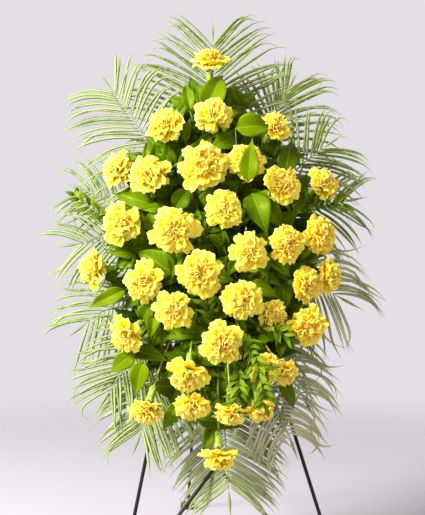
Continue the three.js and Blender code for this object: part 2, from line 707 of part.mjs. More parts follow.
/** A curve between two points, bent sideways as little as it takes to clear the rest. */
function clearCurve(from, to, radius) {
  const along = to.clone().sub(from).normalize();
  const side = new THREE.Vector3(0, 0, 1).cross(along).normalize();
  const other = along.clone().cross(side);
  let best = null;
  for (let i = 0; i < 90; i += 1) {
    const bend = from.clone().lerp(to, 0.35 + 0.3 * ((i * 0.37) % 1))
      .addScaledVector(side, 0.9 * i * Math.cos(2.4 * i))
      .addScaledVector(other, 0.9 * i * Math.sin(2.4 * i));
    const curve = new THREE.QuadraticBezierCurve3(from, bend, to);
    const space = room(curve, radius);
    if (!best || space > best.space) best = { curve, space };
    if (space > 0.5) break;
  }
  return best.curve.v1.distanceTo(from) + best.curve.v1.distanceTo(to) < from.distanceTo(to) + 0.01
    ? new THREE.LineCurve3(from, to)
    : best.curve;
}

/** A thin bar of rings along a curve, in one step if it is straight. */
function twigBar(curve, radius, bentSteps) {
  const steps = curve.isLineCurve3 ? 1 : bentSteps;
  const list = [];
  for (let i = 0; i <= steps; i += 1) {
    list.push({ centre: curve.getPoint(i / steps), axis: curve.getTangent(i / steps), radius });
  }
  return solid(rings(list, 3));
}

/** One broad leaf blade: pointed oval, folded along its midrib and arched along its length. */
function blade(base, tip, width) {
  const along = tip.clone().sub(base);
  const length = along.length();
  along.normalize();
  const side = new THREE.Vector3(0, 0, 1).cross(along).normalize();
  const normal = along.clone().cross(side).normalize();
  if (normal.z < 0) normal.negate();
  const across = along.clone().cross(normal).normalize();
  const stations = [[0.34, 1], [0.7, 0.8]];
  const outline = [[0, 0, 0]];
  stations.forEach(([t, share]) => {
    const arch = 0.12 * length * Math.sin(Math.PI * t);
    const half = (width / 2) * share;
    outline.push([t, -half, arch + 0.22 * half], [t, 0, arch], [t, half, arch + 0.22 * half]);
  });
  outline.push([1, 0, 0]);
  const sheet = (offset) => outline.map(([t, sideways, rise]) => base.clone()
    .addScaledVector(along, t * length)
    .addScaledVector(across, sideways)
    .addScaledVector(normal, rise + offset));
  const points = [...sheet(LEAF_THICKNESS / 2), ...sheet(-LEAF_THICKNESS / 2)];
  const top = [
    [0, 1, 2], [0, 2, 3],
    [1, 4, 5], [1, 5, 2], [2, 5, 6], [2, 6, 3],
    [4, 7, 5], [5, 7, 6],
  ];
  const under = outline.length;
  const edge = [0, 1, 4, 7, 6, 3];
  const faces = [
    ...top,
    ...top.map((face) => face.map((i) => i + under).reverse()),
    ...edge.map((from, i) => {
      const to = edge[(i + 1) % edge.length];
      return [to, from, from + under, to + under];
    }),
  ];
  return solid(shell(points, faces));
}

/** The solids of leafy twigs that meet in one knot in the foam. */
function leafyTwigs(name) {
  const knot = vector(TWIG_KNOTS[name]);
  const bodies = [];
  TWIGS[name].forEach((leaves) => {
    const bases = leaves.map(([base]) => vector(base));
    const middle = new THREE.Vector3();
    bases.forEach((base) => middle.addScaledVector(base, 1 / bases.length));
    const fork = knot.clone().lerp(middle, 0.72);
    const trunk = clearCurve(knot, fork, TWIG_RADIUS);
    bodies.push(twigBar(trunk, TWIG_RADIUS, 3));
    leaves.forEach(([, tip, width], i) => {
      const stalk = clearCurve(fork, bases[i], TWIG_RADIUS * 0.8);
      bodies.push(twigBar(stalk, TWIG_RADIUS * 0.8, 2));
      const end = bases[i].clone().addScaledVector(stalk.getTangent(1), -2);
      bodies.push(blade(end, vector(tip), width));
    });
  });
  return bodies;
}

/** One small flat leaf of a sprig, pointed at both ends. */
function sprigLeaf(base, along, flat) {
  const across = along.clone().cross(flat).normalize();
  const { length, width } = SPRIG_LEAF;
  const middle = base.clone().addScaledVector(along, 0.45 * length);
  const points = [
    base,
    middle.clone().addScaledVector(across, -width / 2),
    base.clone().addScaledVector(along, length),
    middle.clone().addScaledVector(across, width / 2),
    middle.clone().addScaledVector(flat, 0.7),
    middle.clone().addScaledVector(flat, -0.7),
  ];
  const faces = [0, 1, 2, 3].flatMap((i) => {
    const j = (i + 1) % 4;
    return [[j, i, 4], [i, j, 5]];
  });
  return solid(shell(points, faces));
}

/** The solids of sprigs: small leaves in pairs, on stems that meet in one knot in the foam. */
function sprigs() {
  const random = seededRandom(4021);
  const bodies = [];
  SPRIGS.forEach((stemPoints) => {
    const points = stemPoints.map(vector);
    bodies.push(twigBar(clearCurve(vector(SPRIG_KNOT), points[0], 1.3), 1.3, 3));
    const line = new THREE.CatmullRomCurve3(points);
    bodies.push(twigBar(line, 1.2, 6));
    const pairs = Math.floor(line.getLength() / SPRIG_LEAF.spacing);
    for (let i = 1; i <= pairs; i += 1) {
      [-1, 1].forEach((side) => {
        const t = (i + 0.12 * (side - 1)) / pairs;
        const root = line.getPointAt(t);
        const ahead = line.getTangentAt(t);
        const aside = new THREE.Vector3(0, 0, 1).cross(ahead).normalize();
        const spread = side * (0.7 + 0.2 * random());
        const out = ahead.clone().multiplyScalar(0.75).addScaledVector(aside, spread);
        out.z += 0.5 * (random() - 0.4);
        out.normalize();
        const flat = new THREE.Vector3(0.2 * side, 0.1, 1).addScaledVector(out, -out.z).normalize();
        bodies.push(sprigLeaf(root.clone().addScaledVector(out, -SPRIG_LEAF.sunk), out, flat));
      });
    }
  });
  return bodies;
}

const finish = (color, roughness, metalness = 0) => ({ color, roughness, metalness });
const FINISHES = {
  blackWire: finish(0x15151a, 0.35, 0.6),
  blackVinyl: finish(0x1a1a1c, 0.7),
  foam: finish(0x35553a, 0.95),
  trayPlastic: finish(0x2c5132, 0.5),
  palm: finish(0x93a55c, 0.55),
  stem: finish(0x86a05a, 0.6),
  petals: finish(0xf2d335, 0.7),
  leaf: finish(0x3f7a14, 0.35),
  sprig: finish(0x4e8a22, 0.45),
};

const whole = new THREE.Group();
const standGroup = new THREE.Group();
const sprayGroup = new THREE.Group();
sprayGroup.rotation.x = Math.PI / 2 - LEAN;
sprayGroup.position.set(...HUB);
whole.add(standGroup, sprayGroup);

/** Adds a solid as a named mesh with a material of its own. */
function addMesh(group, name, body, look) {
  const mesh = new THREE.Mesh(surface(body), new THREE.MeshStandardMaterial(look));
  mesh.name = name;
  group.add(mesh);
}

const standParts = easel();
Object.entries(standParts).forEach(([name, body]) => {
  addMesh(standGroup, name, body, name.startsWith('easel_foot') ? FINISHES.blackVinyl : FINISHES.blackWire);
});

// What stands already, as cutters that keep the gap, in the leaning frame.
const cutters = Object.values(standParts).map((body) => grown(leaned(surface(body))));

/** Cuts away what would cross the pieces that stand already, and keeps the largest piece. */
function fitted(body) {
  const own = body.boundingBox();
  const near = cutters.filter((cutter) => {
    const other = cutter.boundingBox();
    return own.min.every((low, i) => low < other.max[i] && own.max[i] > other.min[i]);
  });
  return largest(near.reduce((left, cutter) => left.subtract(cutter), body).simplify(SMALLEST_EDGE / 2));
}

/** Joins the solids of a piece of the spray, fits the piece among the rest and adds it. */
function addPiece(name, bodies, look) {
  const piece = fitted(joined(bodies));
  cutters.push(wasm.Manifold.union(bodies.map((body) => grown(body))));
  addMesh(sprayGroup, name, piece, look);
}

addPiece('foam_tray', [tray()], FINISHES.trayPlastic);
Object.keys(FRONDS).forEach((name) => {
  addPiece(`palm_frond_${name}`, [frond(name)], FINISHES.palm);
  frondSpine(name).getPoints(2 * SAMPLES).forEach(({ x, y }) => {
    const centre = new THREE.Vector3(x, y, frondDepth(FRONDS[name][2], x, y));
    obstacles.push({ centre, radius: RIB_RADIUS.root });
  });
});

const numbers = BLOOMS.map((row, i) => i + 1);
const stemBodies = [solid(ball(STEM_KNOT.centre, STEM_KNOT.radius))];
numbers.forEach((number) => {
  stemBodies.push(stem(number));
  stemLine(number).getPoints(SAMPLES).forEach((centre) => {
    obstacles.push({ centre, radius: STEM_RADIUS + 0.6 });
  });
  [0.15, 0.5, 0.85].forEach((share) => {
    const centre = calyxMouth(number).lerp(stemLine(number).getPoint(0), share);
    obstacles.push({ centre, radius: CALYX.mouth });
  });
});
addPiece('carnation_stems', stemBodies, FINISHES.stem);

const inPairs = new Set(JOINED_BLOOMS.flat());
const single = numbers.filter((number) => !inPairs.has(number));
const bloomGroups = [...single.map((number) => [number]), ...JOINED_BLOOMS];
bloomGroups.sort((a, b) => a[0] - b[0]);
bloomGroups.forEach((members) => {
  const name = `carnation_${members.map((number) => String(number).padStart(2, '0')).join('_')}`;
  const between = members.length > 1 ? [sharedPetal(members)] : [];
  addPiece(name, [...members.map(bloom), ...between], FINISHES.petals);
  const middles = members.map((number) => vector(BLOOMS[number - 1].slice(0, 3)));
  members.forEach((number, i) => {
    obstacles.push({ centre: middles[i], radius: BLOOMS[number - 1][5] * 0.8 });
  });
  if (between.length > 0) obstacles.push({ centre: middles[0].lerp(middles[1], 0.5), radius: 15 });
});

addPiece('sprigs', sprigs(), FINISHES.sprig);
Object.keys(TWIGS).forEach((name) => addPiece(name, leafyTwigs(name), FINISHES.leaf));

const { halfWidth, bottom, top, back, front } = FOAM;
addPiece('floral_foam', [solid(box([-halfWidth, bottom, back], [halfWidth, top, front]))], FINISHES.foam);

// The whole is moved so that the origin lies on the floor under the middle of its box,
// which is measured corner by corner, because the spray's group is turned.
const bounds = new THREE.Box3().setFromObject(whole, true);
whole.position.set(-(bounds.min.x + bounds.max.x) / 2, -(bounds.min.y + bounds.max.y) / 2, 0);
whole.updateMatrixWorld(true);

export default whole;
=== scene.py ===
"""Looks of the standing funeral spray: yellow carnations, palm fronds, broad glossy leaves
and small-leaved sprigs in floral foam, on a black wire easel.

Sizes are millimetres until a mesh is made. The spray is laid out in a leaning frame: x to
the right, v up along the easel's front legs, w forward. Every piece is a surface worked out
with numpy as a grid of points, and its finish reads the piece's own UV map, fields or place.
"""
import logging
import math
from dataclasses import dataclass
from enum import Enum

import bpy
import numpy as np
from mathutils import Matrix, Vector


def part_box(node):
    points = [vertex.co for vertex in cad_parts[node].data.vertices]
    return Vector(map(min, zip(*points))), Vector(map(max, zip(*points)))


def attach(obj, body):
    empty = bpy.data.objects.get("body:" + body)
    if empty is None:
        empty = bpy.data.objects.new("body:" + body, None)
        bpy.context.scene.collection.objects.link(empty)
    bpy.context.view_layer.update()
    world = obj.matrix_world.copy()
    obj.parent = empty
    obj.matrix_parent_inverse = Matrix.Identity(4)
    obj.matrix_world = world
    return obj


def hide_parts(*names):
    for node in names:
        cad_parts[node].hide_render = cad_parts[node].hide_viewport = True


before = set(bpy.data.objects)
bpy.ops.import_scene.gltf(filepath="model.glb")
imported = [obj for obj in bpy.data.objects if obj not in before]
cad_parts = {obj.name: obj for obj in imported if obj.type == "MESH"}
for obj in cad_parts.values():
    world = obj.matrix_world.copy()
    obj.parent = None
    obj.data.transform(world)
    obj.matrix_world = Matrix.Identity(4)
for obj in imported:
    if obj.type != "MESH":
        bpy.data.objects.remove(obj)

logging.basicConfig(level=logging.INFO, format="%(message)s")
log = logging.getLogger("spray")

Array = np.ndarray
Generator = np.random.Generator
Socket = bpy.types.NodeSocket
Material = bpy.types.Material
Pair = tuple[float, float]
Point = tuple[float, float, float]
Colour = tuple[float, float, float, float]
Sizes = tuple[float, ...]
Tones = tuple[str, ...]

MM = 0.001
GOLDEN_TURN = math.pi * (3 - math.sqrt(5))
NEARLY_UPRIGHT = 0.8
DOME_STEPS = np.array([0.02, 0.15, 0.45, 1.0])


def smooth(low: float, high: float, value: Array) -> Array:
    """Zero below low, one above high, and 3t^2 - 2t^3 between."""
    t = np.clip((value - low) / (high - low), 0, 1)
    return t * t * (3 - 2 * t)


def unit(vectors: Array) -> Array:
    """Each vector divided by its length."""
    return vectors / np.maximum(np.linalg.norm(vectors, axis=-1, keepdims=True), 1e-9)


def behind(values: Array, axes: int) -> Array:
    """The values with more axes of length one behind them, so that they spread over grids."""
    return values.reshape(values.shape + (1,) * axes)


def turned(vectors: Array, angle: Array) -> Array:
    """Vectors of a plane turned left: (x cos a - y sin a, x sin a + y cos a)."""
    x, y, cosine, sine = vectors[..., 0], vectors[..., 1], np.cos(angle), np.sin(angle)
    return np.stack([x * cosine - y * sine, x * sine + y * cosine], axis=-1)


def circle(sides: int) -> tuple[Array, Array]:
    """Cosines and sines of angles spread evenly round a circle."""
    angle = 2 * np.pi * np.arange(sides) / sides
    return np.cos(angle), np.sin(angle)


def bezier(start: Array, bend: Array, end: Array, t: Array) -> Array:
    """Points of quadratic curves: (1-t)^2 start + 2t(1-t) bend + t^2 end.

    Args:
        start: first points, (..., axes).
        bend: middle handles, (..., axes).
        end: last points, (..., axes).
        t: shares of the way, (rows,).

    Returns:
        Points, (..., rows, axes).
    """
    t = t[:, None]
    start, bend, end = (np.asarray(point, float)[..., None, :] for point in (start, bend, end))
    return (1 - t) ** 2 * start + 2 * t * (1 - t) * bend + t ** 2 * end


def tubes(lines: Array, radii: Array, sides: int) -> Array:
    """Rings of points round lines: line + r (cos a side + sin a other), square to the line.

    Args:
        lines: points along each line, (count, rows, 3).
        radii: radius at each point, which broadcasts to (count, rows).
        sides: points in a ring.

    Returns:
        Points, (count, rows, sides, 3), that turn left about the line's way.
    """
    ways = unit(np.gradient(lines, axis=1))
    overall = unit(lines[:, -1] - lines[:, 0])
    upright = np.abs(overall[:, 2:3]) > NEARLY_UPRIGHT
    reference = np.where(upright, [[1.0, 0.0, 0.0]], [[0.0, 0.0, 1.0]])[:, None, :]
    side = unit(np.cross(np.broadcast_to(reference, ways.shape), ways))
    other = np.cross(ways, side)
    cosine, sine = circle(sides)
    ring = cosine[:, None] * side[:, :, None] + sine[:, None] * other[:, :, None]
    return lines[:, :, None] + behind(np.broadcast_to(radii, lines.shape[:2]), 2) * ring


def domed(lines: Array, radius: float, sides: int) -> Array:
    """Round bars with rounded ends: the radius is r sqrt(1 - (1 - d/r)^2) at d < r from an end.

    Args:
        lines: the two ends of each straight bar, (count, 2, 3).
        radius: the bar's radius.
        sides: points in a ring.

    Returns:
        Points, (count, rows, sides, 3).
    """
    length = np.linalg.norm(lines[:, 1] - lines[:, 0], axis=-1)[:, None]
    near = radius * DOME_STEPS
    start = np.broadcast_to(near, (len(lines), len(near)))
    steps = np.concatenate([start, length - near[::-1]], axis=1)
    ends = np.minimum(steps, length - steps)
    radii = radius * np.sqrt(1 - (1 - np.clip(ends / radius, 0, 1)) ** 2)
    way = unit(lines[:, 1] - lines[:, 0])[:, None]
    return tubes(lines[:, :1] + steps[..., None] * way, radii, sides)


@dataclass(frozen=True)
class Draws:
    """Random numbers for a count of things, one for each."""

    random: Generator
    count: int

    def between(self, low: float, high: float, axes: int = 0) -> Array:
        """Evenly from low to high, with more axes of length one behind."""
        return behind(self.random.uniform(low, high, self.count), axes)

    def around(self, amount: float, axes: int = 0) -> Array:
        """Evenly from -amount to amount."""
        return self.between(-amount, amount, axes)

    def phases(self, axes: int = 0) -> Array:
        """Where a wave starts, in radians."""
        return self.between(0, 6.3, axes)


@dataclass(frozen=True)
class Layout:
    """Where the leaning frame and the upright one lie in the row's frame."""

    lean: float = math.atan2(170, 750)
    hub_y: float = -43.0
    hub_z: float = 560.0
    foot_low_x: float = -171.0
    foot_low_y: float = -183.0

    def shift(self) -> Array:
        """The move that puts the left foot cap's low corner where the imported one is."""
        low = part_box("easel_foot_left")[0]
        return np.array([low.x / MM - self.foot_low_x, low.y / MM - self.foot_low_y, 0.0])

    def upright(self, points: Array) -> Array:
        """Metres in the row's frame from upright millimetres."""
        return (points + self.shift()) * MM

    def leaning(self, points: Array) -> Array:
        """Row-frame metres from the leaning frame: y = hub_y + v sin L - w cos L, z = hub_z +
        v cos L + w sin L, with L the lean.

        Args:
            points: leaning-frame points, (..., 3).

        Returns:
            Row-frame points, (..., 3).
        """
        x, v, w = np.moveaxis(points, -1, 0)
        sine, cosine = math.sin(self.lean), math.cos(self.lean)
        y = self.hub_y + v * sine - w * cosine
        z = self.hub_z + v * cosine + w * sine
        return self.upright(np.stack([x, y, z], axis=-1))

    def facing(self, yaw: Array, pitch: Array) -> Array:
        """The way a bloom faces, in the leaning frame, from degrees right and degrees up.

        Args:
            yaw: degrees to the right of the viewer.
            pitch: degrees above level.

        Returns:
            Unit vectors, (..., 3).
        """
        yaw, pitch = np.radians(yaw), np.radians(pitch)
        y = -np.cos(yaw) * np.cos(pitch)
        z = np.sin(pitch)
        sine, cosine = math.sin(self.lean), math.cos(self.lean)
        return np.stack([np.sin(yaw) * np.cos(pitch), y * sine + z * cosine, z * sine - y * cosine], -1)


def show(name: str, data: bpy.types.ID) -> bpy.types.Object:
    """A new object of the scene with that data.

    Args:
        name: the object's name.
        data: its mesh, light or camera.

    Returns:
        The object.
    """
    item = bpy.data.objects.new(name, data)
    bpy.context.scene.collection.objects.link(item)
    return item


class Sheets:
    """Gathers grids of points, and joins them into one mesh with a UV map and fields."""

    def __init__(self) -> None:
        """Starts with nothing gathered."""
        self.points: list[Array] = []
        self.faces: list[list[int]] = []
        self.corners: list[Array] = []
        self.fields: dict[str, list[Array]] = {}
        self.count = 0

    def add(self, grid: Array, ring: bool = False, along: Array | None = None,
            **fields: Array | float) -> "Sheets":
        """Adds grids. A ring's columns close on themselves and its two ends get a lid.

        Args:
            grid: points in metres, (count, rows, columns, 3).
            ring: whether the columns go round.
            along: the UV value of each row, or else they run evenly from 0 to 1.
            **fields: one number a point, each broadcasts to (count, rows, columns).

        Returns:
            Itself.
        """
        count, rows, columns, _ = grid.shape
        index = self.count + np.arange(count * rows * columns).reshape(count, rows, columns)
        here, after = (index, np.roll(index, -1, axis=2)) if ring else (index[:, :, :-1], index[:, :, 1:])
        quads = np.stack([here[:, :-1], after[:, :-1], after[:, 1:], here[:, 1:]], axis=-1)
        self.faces += quads.reshape(-1, 4).tolist()
        cells = here.shape[2]
        across = np.arange(cells + 1) / cells
        along = np.linspace(0, 1, rows) if along is None else np.asarray(along)
        u = np.stack([across[:-1], across[1:], across[1:], across[:-1]], axis=-1)
        v = np.stack([along[:-1], along[:-1], along[1:], along[1:]], axis=-1)
        pair = np.stack(np.broadcast_arrays(u[None, None], v[None, :, None]), axis=-1)
        self.corners.append(np.broadcast_to(pair, (count, rows - 1, cells, 4, 2)).reshape(-1, 2))
        if ring:
            self.faces += index[:, 0, ::-1].tolist() + index[:, -1].tolist()
            for order, height in ((slice(None, None, -1), along[0]), (slice(None), along[-1])):
                lid = np.stack([across[:-1][order], np.full(cells, height)], axis=-1)
                self.corners.append(np.tile(lid, (count, 1)))
        self.points.append(grid.reshape(-1, 3))
        for name, value in fields.items():
            spread = np.broadcast_to(value, (count, rows, columns)).reshape(-1)
            self.fields.setdefault(name, []).append(spread)
        self.count += count * rows * columns
        return self

    def build(self, name: str, finish: "Finish", slot: str, nodes: tuple[str, ...],
              thickness: float = 0.0) -> None:
        """Makes the object, dresses it, hangs it on the root body and hides the CAD nodes that it replaces.

        Args:
            name: the piece's name.
            finish: what it is dressed in.
            slot: not used.
            nodes: CAD nodes that it replaces.
            thickness: of a thin sheet in millimetres, zero for closed grids.
        """
        mesh = bpy.data.meshes.new(name)
        mesh.from_pydata(np.concatenate(self.points), [], self.faces)
        mesh.uv_layers.new(name="shape").data.foreach_set("uv", np.concatenate(self.corners).ravel())
        for title, values in self.fields.items():
            layer = mesh.attributes.new(title, "FLOAT", "POINT")
            layer.data.foreach_set("value", np.concatenate(values).astype(np.float32))
        mesh.polygons.foreach_set("use_smooth", np.ones(len(mesh.polygons), bool))
        mesh.materials.append(finish.material())
        piece = show(name, mesh)
        if thickness > 0:
            solid = piece.modifiers.new("thickness", "SOLIDIFY")
            solid.thickness = thickness * MM
            solid.offset = 0
        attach(piece, "root")
        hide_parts(*nodes)
        log.info("%s: %d faces", name, len(mesh.polygons))


def tint(code: str) -> Colour:
    """Linear colour of a screen colour: c / 12.92 near black, and ((c + 0.055) / 1.055)^2.4 above.

    Args:
        code: six hex digits.

    Returns:
        Red, green, blue and a full alpha.
    """
    shares = [int(code[i:i + 2], 16) / 255 for i in (0, 2, 4)]
    linear = [c / 12.92 if c <= 0.04045 else ((c + 0.055) / 1.055) ** 2.4 for c in shares]
    return (*linear, 1.0)


class Desk:
    """A material's node tree while it is laid out."""

    def __init__(self, name: str) -> None:
        """Starts a material with its shader.

        Args:
            name: the material's name.
        """
        self.material = bpy.data.materials.new(name)
        self.material.use_nodes = True
        self.nodes = self.material.node_tree.nodes
        self.links = self.material.node_tree.links
        self.shader = self.nodes["Principled BSDF"]

    def add(self, kind: str, inputs: dict, out: int | str = 0, **settings: object) -> Socket:
        """Adds a node: an input that is a socket is linked, and any other is its value.

        Args:
            kind: the node's type.
            inputs: values or sockets by input name or place.
            out: which output to hand back.
            **settings: the node's own properties.

        Returns:
            The output socket.
        """
        node = self.nodes.new(kind)
        for name, value in settings.items():
            setattr(node, name, value)
        for key, value in inputs.items():
            self.put(node.inputs[key], value)
        return node.outputs[out]

    def put(self, socket: Socket, value: object) -> None:
        """Links a socket to another, or sets its value.

        Args:
            socket: the input.
            value: a socket, number, vector or colour.
        """
        if isinstance(value, Socket):
            self.links.new(value, socket)
        else:
            socket.default_value = value

    def shade(self, **inputs: object) -> Material:
        """Fills in the shader's sockets by name, with spaces for underscores.

        Args:
            **inputs: values or sockets.

        Returns:
            The material.
        """
        for name, value in inputs.items():
            self.put(self.shader.inputs[name.replace("_", " ")], value)
        return self.material

    def place(self) -> Socket:
        """The point in the piece's own frame, in metres."""
        return self.add("ShaderNodeTexCoord", {}, "Object")

    def across(self) -> tuple[Socket, Socket]:
        """Where a point lies on its surface, from the UV map.

        Returns:
            The share across and the share along.
        """
        point = self.add("ShaderNodeUVMap", {}, uv_map="shape")
        split = self.nodes.new("ShaderNodeSeparateXYZ")
        self.links.new(point, split.inputs[0])
        return split.outputs[0], split.outputs[1]

    def field(self, name: str) -> Socket:
        """A field of the mesh."""
        return self.add("ShaderNodeAttribute", {}, "Fac", attribute_name=name)

    def noise(self, scale: float, detail: float = 3, stretch: Point | None = None) -> Socket:
        """Cloudy values from 0 to 1 in the piece's own frame.

        Args:
            scale: how fine the clouds are.
            detail: how many finer layers lie on them.
            stretch: scale along each axis.

        Returns:
            The value's socket.
        """
        vector = self.place()
        if stretch:
            vector = self.add("ShaderNodeMapping", {"Vector": vector, "Scale": stretch})
        return self.add("ShaderNodeTexNoise", {"Vector": vector, "Scale": scale, "Detail": detail}, "Fac")

    def sums(self, kind: str, first: object, second: object, third: object = 0.0) -> Socket:
        """A sum, product or other operation on two or three values."""
        return self.add("ShaderNodeMath", {0: first, 1: second, 2: third}, operation=kind)

    def span(self, value: Socket, low: float, high: float, start: float = 0.0, end: float = 1.0) -> Socket:
        """A value carried smoothly from one range to another."""
        return self.add("ShaderNodeMapRange", {0: value, 1: low, 2: high, 3: start, 4: end},
                        interpolation_type="SMOOTHSTEP")

    def mix(self, share: object, first: object, second: object, blend: str = "MIX") -> Socket:
        """Two colours mixed by a share."""
        return self.add("ShaderNodeMix", {0: share, 6: first, 7: second}, 2, data_type="RGBA",
                        blend_type=blend)

    def ramp(self, value: object, stops: dict[float, str]) -> Socket:
        """A colour that follows a value through stops of hex colours.

        Args:
            value: the value's socket.
            stops: colour by place, from 0 to 1.

        Returns:
            The colour's socket.
        """
        node = self.nodes.new("ShaderNodeValToRGB")
        self.put(node.inputs[0], value)
        elements = node.color_ramp.elements
        while len(elements) < len(stops):
            elements.new(0.5)
        for element, (where, code) in zip(elements, sorted(stops.items())):
            element.position = where
            element.color = tint(code)
        return node.outputs[0]

    def bump(self, height: object, strength: float, relief: float, normal: Socket | None = None) -> Socket:
        """A normal bent by a height.

        Args:
            height: from 0 to 1.
            strength: of the bend, from 0 to 1.
            relief: the height's full range in millimetres.
            normal: the normal that is bent, or else the surface's own.

        Returns:
            The normal's socket.
        """
        inputs = {"Height": height, "Strength": strength, "Distance": relief * MM}
        if normal:
            inputs["Normal"] = normal
        return self.add("ShaderNodeBump", inputs)

    def waves(self, value: Socket, number: float) -> Socket:
        """(1 + sin(2 pi number value)) / 2."""
        angle = self.sums("MULTIPLY", value, 2 * math.pi * number)
        return self.sums("MULTIPLY_ADD", self.sums("SINE", angle, 0.0), 0.5, 0.5)


@dataclass(frozen=True)
class Finish:
    """What a piece is dressed in. Each kind lays out its own nodes, once."""

    name: str

    def material(self) -> Material:
        """The material, which is made when it is first asked for."""
        return bpy.data.materials.get(self.name) or self.lay_out(Desk(self.name))

    def lay_out(self, desk: Desk) -> Material:
        """Lays out the nodes of this finish.

        Args:
            desk: the material's node tree.

        Returns:
            The material.
        """
        raise NotImplementedError


@dataclass(frozen=True)
class PetalFinish(Finish):
    """Carnation petals: golden at the claw and in the heart, yellow, with a cream edge. The golden orange
    deep in the bloom is partly the petals' own tone and partly painted glow of light passing through them.

    The field heart is 1 for the innermost petals. The other field is the bloom's painted shade, which tints
    blooms to the right and further back more golden, plus each petal's own random tone.
    """

    guard: Tones = ("F6D424", "F9DC24", "FBE430", "FCEA44", "FDF284")
    # The heart's orange is partly the petals' own tone and partly painted glow of light through them.
    heart: Tones = ("F8923A", "FBA83C", "FCC63A", "FDDC40", "FDEE80")
    places: Sizes = (0.3, 0.6, 0.8, 0.93, 1.0)
    # golden tint of painted shade
    shade_gold: str = "F0BC20"
    unevenness: float = 0.12
    ribs: float = 13.0

    def lay_out(self, desk: Desk) -> Material:
        """Two ramps along the petal, mixed by heart, then tinted golden by painted shade, ribbed and
        crumpled.

        Args:
            desk: the material's node tree.

        Returns:
            The material.
        """
        across, along = desk.across()
        uneven = desk.sums("MULTIPLY_ADD", desk.noise(scale=260, detail=2), self.unevenness, along)
        uneven = desk.sums("SUBTRACT", uneven, self.unevenness / 2)
        outer = desk.ramp(uneven, dict(zip(self.places, self.guard)))
        inner = desk.ramp(uneven, dict(zip(self.places, self.heart)))
        colour = desk.mix(desk.field("heart"), outer, inner)
        # Painted shade: a golden tint multiplied in by the bloom's shade field.
        gold_shaded = desk.mix(1.0, colour, tint(self.shade_gold), "MULTIPLY")
        colour = desk.mix(desk.field("warmth"), colour, gold_shaded)
        ribbed = desk.bump(desk.waves(across, self.ribs), strength=0.3, relief=0.3)
        crumpled = desk.bump(desk.noise(scale=300), strength=0.3, relief=0.6, normal=ribbed)
        return desk.shade(Base_Color=colour, Roughness=0.6, Normal=crumpled, Subsurface_Weight=0.35,
                          Subsurface_Radius=(1.0, 0.7, 0.12), Subsurface_Scale=0.004,
                          Specular_IOR_Level=0.12)


@dataclass(frozen=True)
class StemFinish(Finish):
    """Calyxes and stems: pale green with fine lengthwise streaks and a waxy bloom."""

    deep: str = "688A14"
    light: str = "A2BE3E"
    tan: str = "B9A24C"
    streaks: float = 10.0

    def lay_out(self, desk: Desk) -> Material:
        """Green by cloud, paler at the far end, tan where the field dry is high.

        Args:
            desk: the material's node tree.

        Returns:
            The material.
        """
        across, along = desk.across()
        cloud = desk.span(desk.noise(scale=90), 0.3, 0.7)
        colour = desk.mix(cloud, tint(self.deep), tint(self.light))
        pale = desk.mix(desk.span(along, 0.6, 1.0), colour, tint(self.light))
        dry = desk.mix(desk.field("dry"), pale, tint(self.tan))
        normal = desk.bump(desk.waves(across, self.streaks), strength=0.4, relief=0.25)
        return desk.shade(Base_Color=dry, Roughness=0.55, Normal=normal, Subsurface_Weight=0.08,
                          Subsurface_Radius=(0.4, 0.8, 0.2), Subsurface_Scale=0.002)


@dataclass(frozen=True)
class PalmFinish(Finish):
    """Palm leaflets: a pale stripe along the fold, greener edges, and paler tips.

    The field shade is painted shade: from 0, the sunlit tones, to 1, greyer shaded tones. Fresh runs from
    0 to 1, grass green. A third field from 0 to 1 mixes in a pale greyish tint, painted light thrown up
    from the floor onto the lower right leaflets. Stripes are places round the section, with their
    colour's number.
    """

    sunlit: Tones = ("82944C", "98A66E", "7C8E48")
    # tones of leaflets in painted shade
    shaded_tones: Tones = ("92946A", "B0B08E", "8A8C62")
    stripes: tuple[tuple[float, int], ...] = (
        (0.03, 0), (0.25, 1), (0.47, 2), (0.55, 2), (0.75, 1), (0.95, 0))
    grass: str = "56681E"
    # pale greyish tint of painted light from the floor
    floor_light_tint: str = "B2AE8C"
    tip: str = "8C9C52"
    veins: float = 8.0

    def lay_out(self, desk: Desk) -> Material:
        """Ramps round the leaflet mixed by painted shade, fresh green and painted floor light, with parallel
        veins.

        Args:
            desk: the material's node tree.

        Returns:
            The material.
        """
        across, along = desk.across()
        light = desk.ramp(across, {place: self.sunlit[number] for place, number in self.stripes})
        dark = desk.ramp(across, {place: self.shaded_tones[number] for place, number in self.stripes})
        cloud = desk.noise(scale=60)
        # Painted shade: the shade field moves the colour from the sunlit ramp to the shaded one.
        share = desk.sums("MULTIPLY_ADD", cloud, 0.5, desk.sums("SUBTRACT", desk.field("shade"), 0.25))
        colour = desk.mix(desk.add("ShaderNodeClamp", {0: share}), light, dark)
        green = desk.sums("MULTIPLY", desk.field("fresh"), desk.span(cloud, 0.3, 0.6, 0.35, 0.85))
        colour = desk.mix(green, colour, tint(self.grass))
        # Painted light from the floor: the lower right leaflets turn paler and greyer.
        colour = desk.mix(desk.field("dusty"), colour, tint(self.floor_light_tint))
        colour = desk.mix(desk.span(along, 0.6, 1.0, 0.0, 0.5), colour, tint(self.tip))
        normal = desk.bump(desk.waves(across, self.veins), strength=0.2, relief=0.2)
        return desk.shade(Base_Color=colour, Roughness=0.5, Normal=normal, Specular_IOR_Level=0.25,
                          Subsurface_Weight=0.4, Subsurface_Radius=(0.8, 1.0, 0.4), Subsurface_Scale=0.003)


